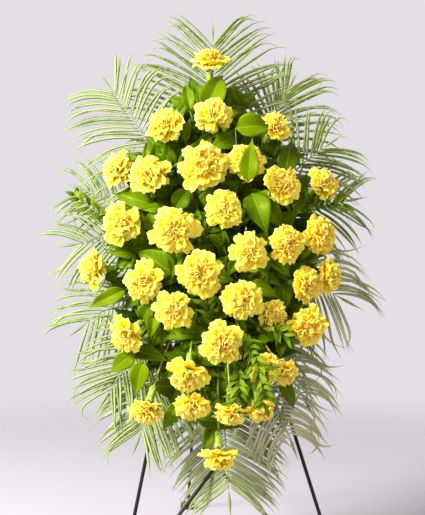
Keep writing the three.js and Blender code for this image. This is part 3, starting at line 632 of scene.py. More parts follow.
@dataclass(frozen=True)
class LeafFinish(Finish):
    """Glossy leaves with a pale midrib and side veins.

    The field tone runs from 0, deep green, to 1, bright green. On the broad leaves it is painted light
    and shade: bright for leaves that face the light, deep for leaves in shade, and the fill leaves behind
    the blooms keep to the darker tones. On the sprigs it differs at random.
    """

    deep: str = "324600"
    middle: str = "4C6600"
    bright: str = "5C7000"
    vein: str = "86A020"
    sheen: str = "D0E050"
    gloss: float = 0.40
    veins: float = 8.0
    slant: float = 0.22
    vein_share: float = 0.12
    midrib_share: float = 0.45

    def lay_out(self, desk: Desk) -> Material:
        """Tone by field and cloud. Side veins are the crests of waves of along - slant side, where
        side is 0 at the midrib and 1 at the edge.

        Args:
            desk: the material's node tree.

        Returns:
            The material.
        """
        across, along = desk.across()
        side = desk.sums("ABSOLUTE", desk.sums("MULTIPLY_ADD", across, 2.0, -1.0), 0.0)
        slanted = desk.sums("MULTIPLY_ADD", side, -self.slant, along)
        line = desk.span(desk.waves(slanted, self.veins), 0.86, 1.0)
        midrib = desk.span(side, 0.07, 0.015)
        cloud = desk.sums("MULTIPLY_ADD", desk.noise(scale=45, detail=4), 0.5, desk.field("tone"))
        tone = desk.sums("SUBTRACT", cloud, 0.25)
        colour = desk.ramp(tone, {0.0: self.deep, 0.5: self.middle, 1.0: self.bright})
        colour = desk.mix(desk.sums("MULTIPLY", line, self.vein_share), colour, tint(self.vein))
        colour = desk.mix(desk.sums("MULTIPLY", midrib, self.midrib_share), colour, tint(self.vein))
        height = desk.sums("MAXIMUM", desk.sums("MULTIPLY", line, 0.6), midrib)
        grooved = desk.bump(desk.sums("SUBTRACT", 1.0, height), strength=0.35, relief=0.5)
        normal = desk.bump(desk.noise(scale=60), strength=0.3, relief=1.5, normal=grooved)
        cloudy = desk.noise(scale=70, detail=2)
        rough = desk.span(cloudy, 0.2, 0.8, self.gloss - 0.07, self.gloss + 0.15)
        return desk.shade(Base_Color=colour, Roughness=rough, Normal=normal, Specular_IOR_Level=0.2,
                          Specular_Tint=tint(self.sheen), Subsurface_Weight=0.1,
                          Subsurface_Radius=(0.5, 0.8, 0.05), Subsurface_Scale=0.002)


@dataclass(frozen=True)
class BarkFinish(Finish):
    """Thin woody twigs: green-brown bark with lengthwise streaks."""

    green: str = "5E7A2A"
    brown: str = "6E5636"
    stretch: Point = (1, 1, 0.25)

    def lay_out(self, desk: Desk) -> Material:
        """Brown and green by stretched clouds.

        Args:
            desk: the material's node tree.

        Returns:
            The material.
        """
        streak = desk.noise(scale=180, detail=4, stretch=self.stretch)
        colour = desk.mix(desk.span(streak, 0.35, 0.65), tint(self.green), tint(self.brown))
        normal = desk.bump(streak, strength=0.5, relief=0.5)
        return desk.shade(Base_Color=colour, Roughness=0.7, Normal=normal)


@dataclass(frozen=True)
class CoatedFinish(Finish):
    """Painted or moulded surfaces: a colour that clouds a little, over a fine grain."""

    low: str
    high: str
    roughness: float
    grain: float
    relief: float

    def lay_out(self, desk: Desk) -> Material:
        """Colour by slow clouds, roughness by middling ones, relief by fine ones.

        Args:
            desk: the material's node tree.

        Returns:
            The material.
        """
        slow = desk.span(desk.noise(scale=25), 0.3, 0.7)
        colour = desk.mix(slow, tint(self.low), tint(self.high))
        middling = desk.noise(scale=120, detail=2)
        rough = desk.span(middling, 0.2, 0.8, self.roughness - 0.08, self.roughness + 0.1)
        normal = desk.bump(desk.noise(scale=self.grain), strength=0.4, relief=self.relief)
        return desk.shade(Base_Color=colour, Roughness=rough, Normal=normal, Specular_IOR_Level=0.3)


@dataclass(frozen=True)
class FoamFinish(Finish):
    """Wet floral foam: crumbly green with open pores."""

    low: str = "1C3A20"
    high: str = "3E6B3A"
    pores: float = 520.0

    def lay_out(self, desk: Desk) -> Material:
        """Pores from a cell pattern, colour from clouds.

        Args:
            desk: the material's node tree.

        Returns:
            The material.
        """
        cells = desk.add("ShaderNodeTexVoronoi", {"Vector": desk.place(), "Scale": self.pores}, "Distance")
        cloud = desk.span(desk.noise(scale=140, detail=4), 0.3, 0.7)
        colour = desk.mix(cloud, tint(self.low), tint(self.high))
        colour = desk.mix(desk.span(cells, 0.5, 0.1, 0.0, 0.6), colour, tint(self.low))
        normal = desk.bump(cells, strength=0.8, relief=1.2)
        return desk.shade(Base_Color=colour, Roughness=0.95, Normal=normal)


@dataclass(frozen=True)
class FloorFinish(Finish):
    """A pale, plain floor that fades into the surround far from the object."""

    near: str = "B5B1B4"
    far: str = "B2AEB2"
    fade_from: float = 0.9
    fade_to: float = 2.5

    def lay_out(self, desk: Desk) -> Material:
        """Pale colours by slow clouds, and less and less of the floor by its distance.

        Args:
            desk: the material's node tree.

        Returns:
            The material.
        """
        slow = desk.span(desk.noise(scale=0.8, detail=2), 0.2, 0.8)
        shade = desk.mix(slow, tint(self.near), tint(self.far))
        distance = desk.add("ShaderNodeVectorMath", {0: desk.place()}, "Value", operation="LENGTH")
        solid = desk.span(distance, self.fade_from, self.fade_to, 1.0, 0.0)
        return desk.shade(Base_Color=shade, Roughness=0.9, Specular_IOR_Level=0.1, Alpha=solid)


PETALS = PetalFinish("petal_finish")
STEMS = StemFinish("stem_finish")
PALM = PalmFinish("palm_finish")
LEAVES = LeafFinish("leaf_finish")
SPRIG_LEAVES = LeafFinish("sprig_leaf_finish", deep="324A08", middle="4E660C", bright="728818", gloss=0.45)
BARK = BarkFinish("bark_finish")
POWDER_COAT = CoatedFinish("powder_coat_finish", "040405", "0A0A0C", roughness=0.42, grain=900.0, relief=0.08)
VINYL = CoatedFinish("vinyl_finish", "0A0A0B", "131315", roughness=0.6, grain=500.0, relief=0.15)
TRAY_PLASTIC = CoatedFinish("tray_plastic_finish", "1C3A22", "264A2C", roughness=0.45, grain=350.0,
                            relief=0.12)
FOAM = FoamFinish("foam_finish")


@dataclass(frozen=True)
class Bloom:
    """One carnation: the middle of its petals, the way it faces in degrees, and its radius."""

    x: float
    v: float
    w: float
    yaw: float
    pitch: float
    radius: float

    def centre(self) -> Array:
        """The middle of the petals in the leaning frame."""
        return np.array([self.x, self.v, self.w], float)


BLOOMS = [Bloom(*row) for row in (
    (-5, 355, 105, 0, 80, 34),
    (0, 235, 155, 5, 35, 36),
    (-80, 220, 145, -25, 35, 35),
    (110, 220, 135, 30, 35, 30),
    (-165, 145, 125, -55, 15, 34),
    (-110, 125, 155, -20, 30, 38),
    (-15, 135, 175, 0, 15, 44),
    (57, 145, 168, 15, 25, 35),
    (120, 105, 160, 25, 15, 36),
    (195, 125, 100, 45, 25, 32),
    (-155, 40, 150, -30, 5, 38),
    (-65, 20, 185, 0, 5, 42),
    (20, 55, 185, 5, 10, 34),
    (185, 25, 125, 40, 5, 36),
    (125, 0, 165, 25, 5, 33),
    (60, -20, 185, 15, 5, 35),
    (-205, -30, 105, -60, 0, 35),
    (-115, -65, 170, -20, -10, 37),
    (-20, -55, 190, 0, 0, 39),
    (50, -100, 185, 5, -5, 36),
    (158, -65, 140, 50, -5, 33),
    (198, -47, 118, 60, 0, 31),
    (-65, -115, 180, -5, -10, 34),
    (100, -120, 155, 30, -15, 27),
    (160, -135, 135, 25, -15, 36),
    (-145, -150, 145, -40, -25, 33),
    (15, -170, 180, 0, -15, 38),
    (90, -210, 155, 20, -25, 30),
    (120, -215, 140, 35, -40, 26),
    (-40, -220, 165, -5, -45, 36),
    (-110, -275, 125, -30, -60, 33),
    (-35, -270, 150, 0, -55, 32),
    (30, -280, 150, 5, -65, 30),
    (80, -275, 140, 20, -55, 27),
    (10, -350, 110, 0, -85, 33),
)]
JOINED_BLOOMS = ((5, 6), (7, 8), (21, 22), (28, 29), (30, 32), (33, 34))


@dataclass(frozen=True)
class Tier:
    """A ring of petals in a bloom: how many, how far they reach as a share of the radius, their
    tips' height and their waves' depth in millimetres at the middle size, their width as a
    share of the radius, how round their outline is and how much they share the heart's tone."""

    count: int
    reach: float
    height: float
    waves: float
    width: float
    roundness: float
    heart: float


TIERS = (
    Tier(9, 0.14, 20.5, 3.4, 0.44, 0.15, 1.0),
    Tier(11, 0.34, 22.0, 4.0, 0.44, 0.18, 0.8),
    Tier(12, 0.56, 20.5, 4.2, 0.46, 0.20, 0.4),
    Tier(12, 0.79, 15.5, 3.6, 0.48, 0.24, 0.12),
    Tier(8, 1.04, 3.5, 2.2, 0.54, 0.32, 0.0),
    Tier(9, 0.88, -5.0, 2.6, 0.50, 0.30, 0.0),
)


def of_petals(name: str) -> Array:
    """One of the tiers' sizes, once for every petal of a bloom."""
    return np.repeat([getattr(tier, name) for tier in TIERS], [tier.count for tier in TIERS])


@dataclass(frozen=True)
class Carnations:
    """All carnations: ruffled petals on green calyxes and thin stems that go into the foam.

    Petal and calyx sizes are millimetres at the middle radius, or shares of the bloom's radius.
    """

    layout: Layout
    middle_radius: float = 36.0
    rows: Sizes = (0.0, 0.38, 0.68, 0.88, 1.0)
    columns: int = 15
    petal_thickness: float = 0.35
    turn_spread: float = 0.34
    reach_spread: float = 0.13
    height_spread: float = 4.2
    width_spread: float = 0.25
    tone_spread: float = 0.12
    base_depth: float = 13.0
    heart_lift: float = 25.0
    bend: float = 0.34
    bend_rise: float = 0.55
    bend_lift: float = 6.5
    axis_share: float = 0.25
    wave_count: float = 1.5
    wave_count_gain: float = 0.9
    wave_count_spread: float = 0.5
    wave_spread: float = 0.4
    second_wave: float = 0.45
    second_count: float = 2.3
    fold: Pair = (-1.5, 5.0)
    cup: Pair = (-1.0, 3.0)
    skew: float = 4.0
    notches: tuple[Pair, ...] = ((0.022, 2.2), (0.018, 3.7))
    tooth: float = 0.012
    tooth_from: float = 0.96
    heart_lean: float = 0.17
    petal_seed: int = 900

    cushion_reach: Sizes = (0.26, 0.45, 0.40, 0.24, 0.08)
    cushion_heights: Sizes = (-3.0, 6.5, 13.0, 16.0, 16.5)
    # Places on the heart's ramp, whose orange is partly painted glow.
    cushion_tones: Sizes = (0.97, 0.93, 0.82, 0.70, 0.66)
    cushion_unevenness: float = 2.2
    cushion_sides: int = 14
    cushion_seed: int = 700
    # Painted shade of the blooms: stronger to the right and further back, up to the limit.
    golden_shade_middle: float = 0.12
    golden_shade_limit: float = 0.4
    golden_shade_reach: float = 1400.0
    golden_shade_depth: float = 150.0

    calyx_top: float = 15.4
    calyx_length: float = 27.0
    calyx_depths: Sizes = (-4.0, 0.5, 6.0, 14.0, 21.0, 25.5, 27.5)
    calyx_radii: Sizes = (8.3, 7.2, 6.7, 6.2, 5.6, 4.2, 2.1)
    scale_depths: Sizes = (17.0, 22.0, 27.0)
    scale_radii: Sizes = (6.9, 6.4, 4.4)
    calyx_sides: int = 10
    calyx_tooth: float = 4.0

    stem_radius: float = 1.8
    stem_bend: float = 0.4
    stem_overlap: float = 1.0
    stem_joint: float = 0.3
    joint_reach: float = 0.03
    joint_swelling: float = 0.45
    foam_front: float = 64.0
    knot: Point = (0.0, 0.0, 58.0)
    knot_radius: float = 9.0
    stem_seed: int = 5

    def axes(self, bloom: Bloom) -> Array:
        """The ways that a bloom's own x, y and z point.

        Args:
            bloom: the carnation.

        Returns:
            Side, other side and facing, as the rows of a matrix.
        """
        ahead = self.layout.facing(bloom.yaw, bloom.pitch)
        side = unit(np.cross([0.0, 1.0, 0.0] if abs(ahead[1]) < 0.9 else [1.0, 0.0, 0.0], ahead))
        return np.stack([side, np.cross(ahead, side), ahead])

    def middle_lines(self, size: float, reach: Array, rise: Array) -> tuple[Array, ...]:
        """A petal's middle line is a quadratic curve from the claw, by a bend at a third of its
        reach, to its tip.

        Args:
            size: the bloom's size as a share of the middle one.
            reach: the tips' distances from the axis.
            rise: the tips' heights.

        Returns:
            Distance from the axis, height, the two parts of the surface's normal, and the line's
            length for each step of t, (petals, rows, 1) each.
        """
        t = np.array(self.rows)
        share, heart = of_petals("reach")[:, None], of_petals("heart")[:, None]
        reach, rise = reach[:, None], rise[:, None]
        bend_rise = rise * self.bend_rise + self.bend_lift * size * share
        base = size * (self.heart_lift * heart - self.base_depth)
        radial = 2 * t * (1 - t) * self.bend * reach + t ** 2 * reach
        height = (1 - t) ** 2 * base + 2 * t * (1 - t) * bend_rise + t ** 2 * rise
        outward, upward = np.gradient(radial, t, axis=1), np.gradient(height, t, axis=1)
        pace = np.hypot(outward, upward)
        return tuple(value[..., None] for value in (radial, height, upward / pace, -outward / pace, pace))

    def ruffles(self, bloom: Bloom, draws: Draws, radial: Array) -> tuple[Array, ...]:
        """How a petal's points leave its middle line, at t along and s across, from -1 to 1. They
        turn about the axis by s W / (r + R/4). Two sines of s throw them into waves, the sides
        fold forward by |s|^1.6 and s^2, and the tip skews by s. The edge is drawn back by
        roundness s^4, notched by two more sines and toothed.

        Args:
            bloom: the carnation.
            draws: for the petals' own differences.
            radial: the middle lines' distances from the axis.

        Returns:
            Turns, waves along the normal, and shares of the pace by which points are drawn out.
        """
        t, s = np.array(self.rows)[:, None], np.linspace(-1, 1, self.columns)
        size = bloom.radius / self.middle_radius
        share = of_petals("reach")
        phase, second = draws.phases(2), draws.phases(2)
        width = of_petals("width") * bloom.radius * (1 + draws.around(self.width_spread))
        turn = s * behind(width, 2) / (radial + self.axis_share * bloom.radius)
        often = self.wave_count + self.wave_count_gain * (1 - share) + draws.around(self.wave_count_spread)
        often = behind(often, 2)
        deep = behind(size * of_petals("waves") * (1 + draws.around(self.wave_spread)), 2)
        wave = deep * t ** 1.5 * np.sin(often * np.pi * s + phase)
        wave += self.second_wave * deep * t ** 3 * np.sin(self.second_count * often * np.pi * s + second)
        folded = behind(size * draws.between(*self.fold) * (1.2 - share), 2)
        cupped = behind(size * draws.between(*self.cup), 2)
        wave -= (folded * np.abs(s) ** 1.6 + cupped * s ** 2) * t ** 2
        wave += behind(size * draws.around(self.skew), 2) * t ** 2 * s
        starts = zip(self.notches, (second, phase))
        notch = sum(depth * np.sin(count * np.pi * s + start) for (depth, count), start in starts)
        teeth = draws.random.uniform(-self.tooth, self.tooth, (draws.count, 1, self.columns))
        drawn = t ** 3 * (notch - behind(of_petals("roundness"), 2) * s ** 4) + teeth * (t > self.tooth_from)
        return turn, wave, drawn

    def petal_grids(self, bloom: Bloom, number: int) -> tuple[Array, Array, Array]:
        """Petals in rings about the axis, along their middle lines and ruffled. The heart's petals
        lean off the axis any way they like, so that they fill the middle.

        Args:
            bloom: the carnation.
            number: its number, which seeds the petals' own differences.

        Returns:
            Points in metres (petals, rows, columns, 3), and the fields heart and warmth.
        """
        share, heart = of_petals("reach"), of_petals("heart")
        draws = Draws(np.random.default_rng(self.petal_seed + number), len(share))
        first = [draws.random.uniform(0, 1) for _ in TIERS]
        turns = [(np.arange(tier.count) + start) / tier.count for tier, start in zip(TIERS, first)]
        azimuth = 2 * np.pi * np.concatenate(turns) + draws.around(self.turn_spread)
        size = bloom.radius / self.middle_radius
        reach = share + draws.around(self.reach_spread) * (0.5 + 0.5 * share)
        reach = bloom.radius * reach * 0.98
        rise = size * (of_petals("height") + draws.around(self.height_spread))
        radial, height, out_radial, out_height, pace = self.middle_lines(size, reach, rise)
        turn, wave, drawn = self.ruffles(bloom, draws, radial)
        drawn = drawn * pace
        radial = radial + wave * out_radial - drawn * out_height
        height = height + wave * out_height + drawn * out_radial
        angle = behind(azimuth, 2) + turn
        local = np.stack([radial * np.cos(angle), radial * np.sin(angle), height], axis=-1)
        way = draws.phases()
        lean = behind(self.heart_lean * bloom.radius * heart * draws.between(0.2, 1), 2)
        aside = np.stack([np.cos(way), np.sin(way), 0 * way], axis=-1)[:, None, None]
        local = local + aside * (np.array(self.rows)[:, None] * lean)[..., None]
        points = bloom.centre() + local @ self.axes(bloom)
        return self.layout.leaning(points), behind(heart, 2), draws.around(self.tone_spread, 2)

    def cushion(self, bloom: Bloom, number: int) -> Array:
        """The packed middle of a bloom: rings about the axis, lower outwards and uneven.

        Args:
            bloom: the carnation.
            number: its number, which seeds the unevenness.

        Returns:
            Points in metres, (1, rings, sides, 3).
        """
        random = np.random.default_rng(self.cushion_seed + number)
        cosine, sine = circle(self.cushion_sides)
        reach, rise = np.array(self.cushion_reach)[:, None], np.array(self.cushion_heights)[:, None]
        shape = (len(reach), self.cushion_sides)
        radial = bloom.radius * reach * random.uniform(0.9, 1.1, shape)
        uneven = random.uniform(-self.cushion_unevenness, self.cushion_unevenness, shape)
        height = (rise + uneven) * bloom.radius / self.middle_radius
        local = np.stack([radial * cosine, radial * sine, height], axis=-1)
        return self.layout.leaning(bloom.centre() + local @ self.axes(bloom))[None]

    def warmth(self, bloom: Bloom) -> float:
        """How much painted shade a bloom gets: the ones at the right and deeper in are tinted more golden.

        Args:
            bloom: the carnation.

        Returns:
            From 0 to the limit.
        """
        golden = self.golden_shade_middle + bloom.x / self.golden_shade_reach
        golden -= (bloom.w - self.golden_shade_depth) / self.golden_shade_reach
        return float(np.clip(golden, 0.0, self.golden_shade_limit))

    def build_blooms(self) -> None:
        """Makes one piece for each CAD node of petals."""
        joined = {number for pair in JOINED_BLOOMS for number in pair}
        groups = [(n,) for n in range(1, len(BLOOMS) + 1) if n not in joined] + list(JOINED_BLOOMS)
        for group in sorted(groups):
            sheets = Sheets()
            for number in group:
                bloom = BLOOMS[number - 1]
                grid, heart, tone = self.petal_grids(bloom, number)
                # The bloom's painted shade, with each petal's own random tone on top.
                warmth = self.warmth(bloom)
                sheets.add(grid, along=np.array(self.rows), heart=heart, warmth=warmth + tone)
                packed = self.cushion(bloom, number)
                sheets.add(packed, ring=True, along=np.array(self.cushion_tones), heart=1.0, warmth=warmth)
            label = "_".join(f"{number:02d}" for number in group)
            sheets.build(f"petals_{label}", PETALS, "petals", (f"carnation_{label}",), self.petal_thickness)

    def cups(self, mouths: Array, axes: Array, depths: tuple, radii: tuple) -> Array:
        """Rings about each bloom's axis, each at its depth behind the mouth. Every other point of
        the first ring stands back, so that the rim has five teeth.

        Args:
            mouths: the middles of the calyxes' mouths, (blooms, 3).
            axes: the blooms' axes, (blooms, 3, 3).
            depths: of the rings, from the rim to the foot.
            radii: of the rings.

        Returns:
            Points in metres, (blooms, rings, sides, 3), from the foot to the rim.
        """
        cosine, sine = circle(self.calyx_sides)
        depth, radius = np.array(depths)[:, None], np.array(radii)[:, None]
        toothed = np.where(np.arange(self.calyx_sides) % 2, self.calyx_tooth, 0.0)
        depth = depth + np.where(depth == depths[0], toothed, 0.0)
        ring = np.stack([radius * cosine, radius * sine, -depth], axis=-1)
        points = mouths[:, None, None] + np.einsum("rsc,bcd->brsd", ring, axes)
        return self.layout.leaning(points[:, ::-1])

    def build_stems(self) -> None:
        """Makes the calyxes with a few scales at their feet, and the stems, which follow a curve
        from the calyx's foot into the foam and swell at a joint."""
        axes = np.stack([self.axes(bloom) for bloom in BLOOMS])
        ahead = axes[:, 2]
        size = np.array([bloom.radius for bloom in BLOOMS]) / self.middle_radius
        mouths = np.stack([bloom.centre() for bloom in BLOOMS]) - ahead * self.calyx_top * size[:, None]
        calyxes = self.cups(mouths, axes, self.calyx_depths, self.calyx_radii)
        scales = self.cups(mouths, axes, self.scale_depths, self.scale_radii)

        foot = mouths - ahead * (self.calyx_length - self.stem_overlap)
        knot = np.array(self.knot)
        distance = np.linalg.norm(foot - knot, axis=-1, keepdims=True)
        bend = foot - self.stem_bend * distance * ahead
        bend[:, 2] = np.maximum(bend[:, 2], self.foam_front)
        end = knot + self.knot_radius * unit(foot - knot)
        t = np.linspace(0, 1, 17)
        swollen = 1 + self.joint_swelling * np.exp(-((t - self.stem_joint) / self.joint_reach) ** 2)
        stems = tubes(bezier(foot, bend, end, t), self.stem_radius * swollen, sides=8)
        dry = Draws(np.random.default_rng(self.stem_seed), len(BLOOMS)).between(0, 0.8, 2)

        sheets = Sheets().add(calyxes, ring=True, dry=0.0).add(scales, ring=True, dry=0.15)
        sheets.add(self.layout.leaning(stems), ring=True, dry=dry)
        sheets.build("carnation_stalks", STEMS, "stem", ("carnation_stems",))


@dataclass(frozen=True)
class Frond:
    """One palm frond: its angle clockwise from up, the reach of its midrib, its level among the
    fronds, the length of its longest leaflets, how far its last ones open in degrees, how much
    they droop, the share of them that curls at the tip, and how sparse they are."""

    name: str
    angle: float
    reach: float
    level: int
    longest: float
    last_opening: float
    droop: float
    curly: float = 0.12
    sparse: float = 1.0


FRONDS = [Frond(*row) for row in (
    ("top", 0, 434, 3, 190, 36, 0.3, 0.08, 1.1),
    ("upper_right", 23, 358, 1, 160, 16, 0.55, 0.05, 1.15),
    ("right_shoulder", 44, 292, 2, 150, 34, 0.75, 0.08, 1.05),
    ("right_high", 65, 264, 0, 136, 34, 0.8, 0.1, 1.05),
    ("right_low", 107, 228, 3, 165, 34, 1.5, 0.25, 0.85),
    ("lower_right", 147, 290, 1, 130, 66, 2.1, 0.3, 0.9),
    ("bottom_right", 157, 342, 2, 130, 64, 1.9, 0.3, 0.9),
    ("bottom", 176, 408, 0, 144, 54, 0.25, 0.08, 0.45),
    ("bottom_left", -158, 330, 3, 140, 36, 0.4, 0.2, 0.7),
    ("lower_left", -143, 298, 4, 137, 36, 0.5, 0.25, 0.95),
    ("left_low", -117, 250, 1, 146, 34, 0.75, 0.35, 1.0),
    ("left_middle", -83, 238, 2, 138, 34, 0.8, 0.25, 1.0),
    ("left_high", -60, 265, 0, 125, 34, 0.75, 0.12, 0.95),
    ("upper_left", -30, 374, 4, 154, 36, 0.95, 0.15, 1.0),
)]


@dataclass(frozen=True)
class Palms:
    """The fan of palm fronds behind the flowers. Each lies in an arched sheet at its own level."""

    layout: Layout
    foam_half_width: float = 55.0
    foam_top: float = 105.0
    foam_bottom: float = -110.0
    buried: float = 32.0
    bend: float = 0.55
    spring: float = 0.1

    sheet_depth: float = 17.0
    level_gap: float = 7.0
    arch: float = 20.0
    arch_span: float = 430.0
    fall: float = 25.0
    fall_from: float = 180.0
    fall_reach: float = 240.0

    spacing: float = 11.0
    first: float = 0.18
    last: float = 0.985
    first_opening: float = 66.0
    width: float = 5.2
    ridge: float = 0.6
    steps: int = 11
    terminal_share: float = 0.37
    root_spread: float = 0.006
    opening_spread: float = 3.0
    length_spread: Pair = (0.92, 1.05)
    droop_spread: Pair = (-0.2, 0.3)
    tip_droop: float = 0.9
    tip_from: float = 0.72
    bow_spread: float = 0.22
    curl_spread: float = 1.7
    curl_from: float = 0.55
    twist_spread: float = 0.8
    shade_spread: float = 0.3
    rib_root: float = 2.8
    rib_thinning: float = 2.1
    hang_slope: float = 1.15
    lit_range: Pair = (-160.0, 190.0)
    seed: int = 60

    def in_sheet(self, frond: Frond, flat: Array) -> Array:
        """Gives points of the spray's plane their depth in the frond's sheet: sheet_depth +
        level_gap level + arch sin(pi r / arch_span), less fall ((v - fall_from) / fall_reach)^2
        above fall_from.

        Args:
            frond: the frond.
            flat: places across and up, (..., 2).

        Returns:
            Points, (..., 3).
        """
        x, v = flat[..., 0], flat[..., 1]
        arch = self.arch * np.sin(np.pi * np.hypot(x, v) / self.arch_span)
        fall = self.fall * np.maximum(0, (v - self.fall_from) / self.fall_reach) ** 2
        depth = self.sheet_depth + self.level_gap * frond.level + arch - fall
        return np.concatenate([flat, depth[..., None]], axis=-1)

    def spine(self, frond: Frond, t: Array) -> tuple[Array, Array]:
        """The midrib's points and ways in the spray's plane, a curve that springs up a little.

        Args:
            frond: the frond.
            t: shares of the way.

        Returns:
            Points and unit ways, (len(t), 2).
        """
        way = np.array([math.sin(math.radians(frond.angle)), math.cos(math.radians(frond.angle))])
        edge = self.foam_top if way[1] > 0 else -self.foam_bottom
        foam = min(self.foam_half_width / max(abs(way[0]), 1e-6), edge / max(abs(way[1]), 1e-6))
        start, tip = way * (foam - self.buried), way * frond.reach
        sprung = np.array([0, self.spring * frond.reach * abs(way[0])])
        bend = start + self.bend * (tip - start) + sprung
        share = t[:, None]
        ways = 2 * (1 - share) * (bend - start) + 2 * share * (tip - bend)
        return bezier(start, bend, tip, t), unit(ways)

    def leaflet_lines(self, frond: Frond, side: int, draws: Draws) -> tuple[Array, ...]:
        """Middle lines of one side's leaflets in the spray's plane. Each leaves the rib at an
        opening that narrows evenly from the first to the last one, with a length of longest
        (1.04 - 0.36 share^2), and droops: its way is the first one plus droop mid^1.5 down, then
        turned by a bend and by a curl near the tip.

        Args:
            frond: the frond.
            side: 1 for the right of the rib as it grows, -1 for the left.
            draws: for the leaflets' own differences.

        Returns:
            Shares along the rib, (leaflets,), roots, (leaflets, 2), and lines, (leaflets, rows, 2).
        """
        t = np.linspace(self.first, self.last, draws.count)
        t = t + draws.around(self.root_spread)
        share = np.clip((t - 0.3) / 0.675, 0, 1)
        roots, ways = self.spine(frond, t)
        narrowing = (self.first_opening - frond.last_opening) * share
        opening = np.radians(self.first_opening - narrowing + draws.around(self.opening_spread))
        heading = turned(ways, -side * opening)
        length = frond.longest * (1.04 - 0.36 * share ** 2) * draws.between(*self.length_spread)
        stations = np.linspace(0, 1, self.steps)
        middle = (stations[1:] + stations[:-1]) / 2
        droop = behind(frond.droop + draws.between(*self.droop_spread), 1) * middle ** 1.5
        droop = droop + draws.between(0.0, self.tip_droop, 1) * smooth(self.tip_from, 1.0, middle)
        drooping = unit(heading[:, None] + droop[..., None] * np.array([0.0, -1.0]))
        curled = draws.between(0, 1) < frond.curly
        curl = behind(np.where(curled, draws.around(self.curl_spread), 0), 1)
        turn = draws.around(self.bow_spread, 1) * middle + curl * smooth(self.curl_from, 1.0, middle)
        moves = turned(drooping, turn) * behind(behind(length, 1) * np.diff(stations), 1)
        start = np.zeros((draws.count, 1, 2))
        return t, roots, roots[:, None] + np.concatenate([start, np.cumsum(moves, axis=1)], axis=1)

    def leaflet_grids(self, frond: Frond, side: int, random: Generator) -> tuple[Array, ...]:
        """Leaflets of one side: a flat V with a closed underside along each middle line, twisted
        about it. The last ones at the bottom frond's left hang behind the easel's brace.

        Args:
            frond: the frond.
            side: 1 for the right of the rib as it grows, -1 for the left.
            random: for the leaflets' own differences.

        Returns:
            Points in metres (leaflets, rows, 4, 3), and the fields of painted shade, fresh green and painted
            floor light.
        """
        count = round((self.last - self.first) * frond.reach / (self.spacing * frond.sparse))
        draws = Draws(random, count)
        t, roots, flat = self.leaflet_lines(frond, side, draws)
        line = self.in_sheet(frond, flat)
        if frond.name == "bottom" and side > 0:
            line[..., 2] -= (t > 0.6)[:, None] * self.hang_slope * np.abs(flat[..., 0] - roots[:, None, 0])
        way = unit(np.gradient(line, axis=1))
        across = unit(np.cross([0.0, 0.0, 1.0], way))
        front = np.cross(way, across)
        stations = np.linspace(0, 1, self.steps)
        twist = draws.around(self.twist_spread, 2) * (0.2 + stations[:, None])
        side_way = across * np.cos(twist) + front * np.sin(twist)
        front = front * np.cos(twist) - across * np.sin(twist)
        profile = behind(smooth(-0.1, 0.2, stations) * (1 - 0.93 * smooth(0.62, 1.02, stations)), 1)
        half = self.width * max(frond.sparse, 1.0) / 2 * profile
        ridge = line + front * (self.ridge * profile)
        under = line - front * (0.15 + 0.25 * profile)
        grid = np.stack([line - side_way * half, under, line + side_way * half, ridge], axis=2)

        x, v = roots[:, 0], roots[:, 1]
        # Painted shade: rising to the right and towards the top, with a random part.
        high = smooth(-60, 260, v)
        shade = smooth(*self.lit_range, x + 80 * high) + draws.around(self.shade_spread)
        fresh = draws.between(0, 1) ** 2 + smooth(-120, 60, x) * high
        # Painted light from the floor, paler on the lower right leaflets.
        dusty = 0.6 * smooth(0, 110, x) * smooth(-90, -230, v)
        return self.layout.leaning(grid), behind(shade, 2), behind(fresh, 2), behind(dusty, 2)

    def terminal(self, frond: Frond) -> Array:
        """The leaflet straight ahead at the rib's end, widest at 0.4 of its length.

        Args:
            frond: the frond.

        Returns:
            Points in metres, (1, rows, 4, 3).
        """
        end, way = self.spine(frond, np.array([1.0]))
        t = np.linspace(0, 1, self.steps)
        line = self.in_sheet(frond, end + way * behind(t * self.terminal_share * frond.longest, 1))
        across, front = np.array([way[0, 1], -way[0, 0], 0.0]), np.array([0.0, 0.0, 1.0])
        profile = behind(0.2 + 0.8 * smooth(0, 0.4, t) - 0.9 * smooth(0.4, 1.02, t), 1)
        half = self.width / 2 * profile
        grid = np.stack([line - across * half, line - front * 0.4 * profile,
                         line + across * half, line + front * profile], axis=1)
        return self.layout.leaning(grid)[None]

    def build(self) -> None:
        """Makes a piece for each frond: a tapered midrib and its leaflets."""
        for number, frond in enumerate(FRONDS):
            random = np.random.default_rng(self.seed + number)
            t = np.linspace(0, 1, 20)
            flat, _ = self.spine(frond, t)
            rib = tubes(self.in_sheet(frond, flat)[None], self.rib_root - self.rib_thinning * t, sides=8)
            # Painted shade of the rib and the end leaflet, rising to the right.
            shade = float(smooth(*self.lit_range, flat[-1, 0]))
            sheets = Sheets()
            sheets.add(self.layout.leaning(rib), ring=True, shade=0.3 + shade * 0.5, fresh=0.7, dusty=0)
            sheets.add(self.terminal(frond), ring=True, shade=shade * 0.5, fresh=0.5, dusty=0)
            for side in (1, -1):
                grid, tone, fresh, dusty = self.leaflet_grids(frond, side, random)
                sheets.add(grid, ring=True, shade=tone, fresh=fresh, dusty=dusty)
            sheets.build(f"frond_{frond.name}", PALM, "palm", (f"palm_frond_{frond.name}",))


class Shape(Enum):
    """Outlines of leaves, k t^a (1 - t)^b, by their powers a and b."""

    OVATE = (0.6, 1.5)
    LANCE = (0.7, 1.1)

    def half_width(self, t: Array) -> Array:
        """Half the width at shares t of the length, as a share of its greatest, drawn out at the tip.

        Args:
            t: shares of the length.

        Returns:
            Shares of the greatest half width.
        """
        a, b = self.value
        peak = a / (a + b)
        outline = (t / peak) ** a * ((1 - t) / (1 - peak)) ** b
        return outline * (1 - 0.35 * smooth(0.66, 0.92, t))


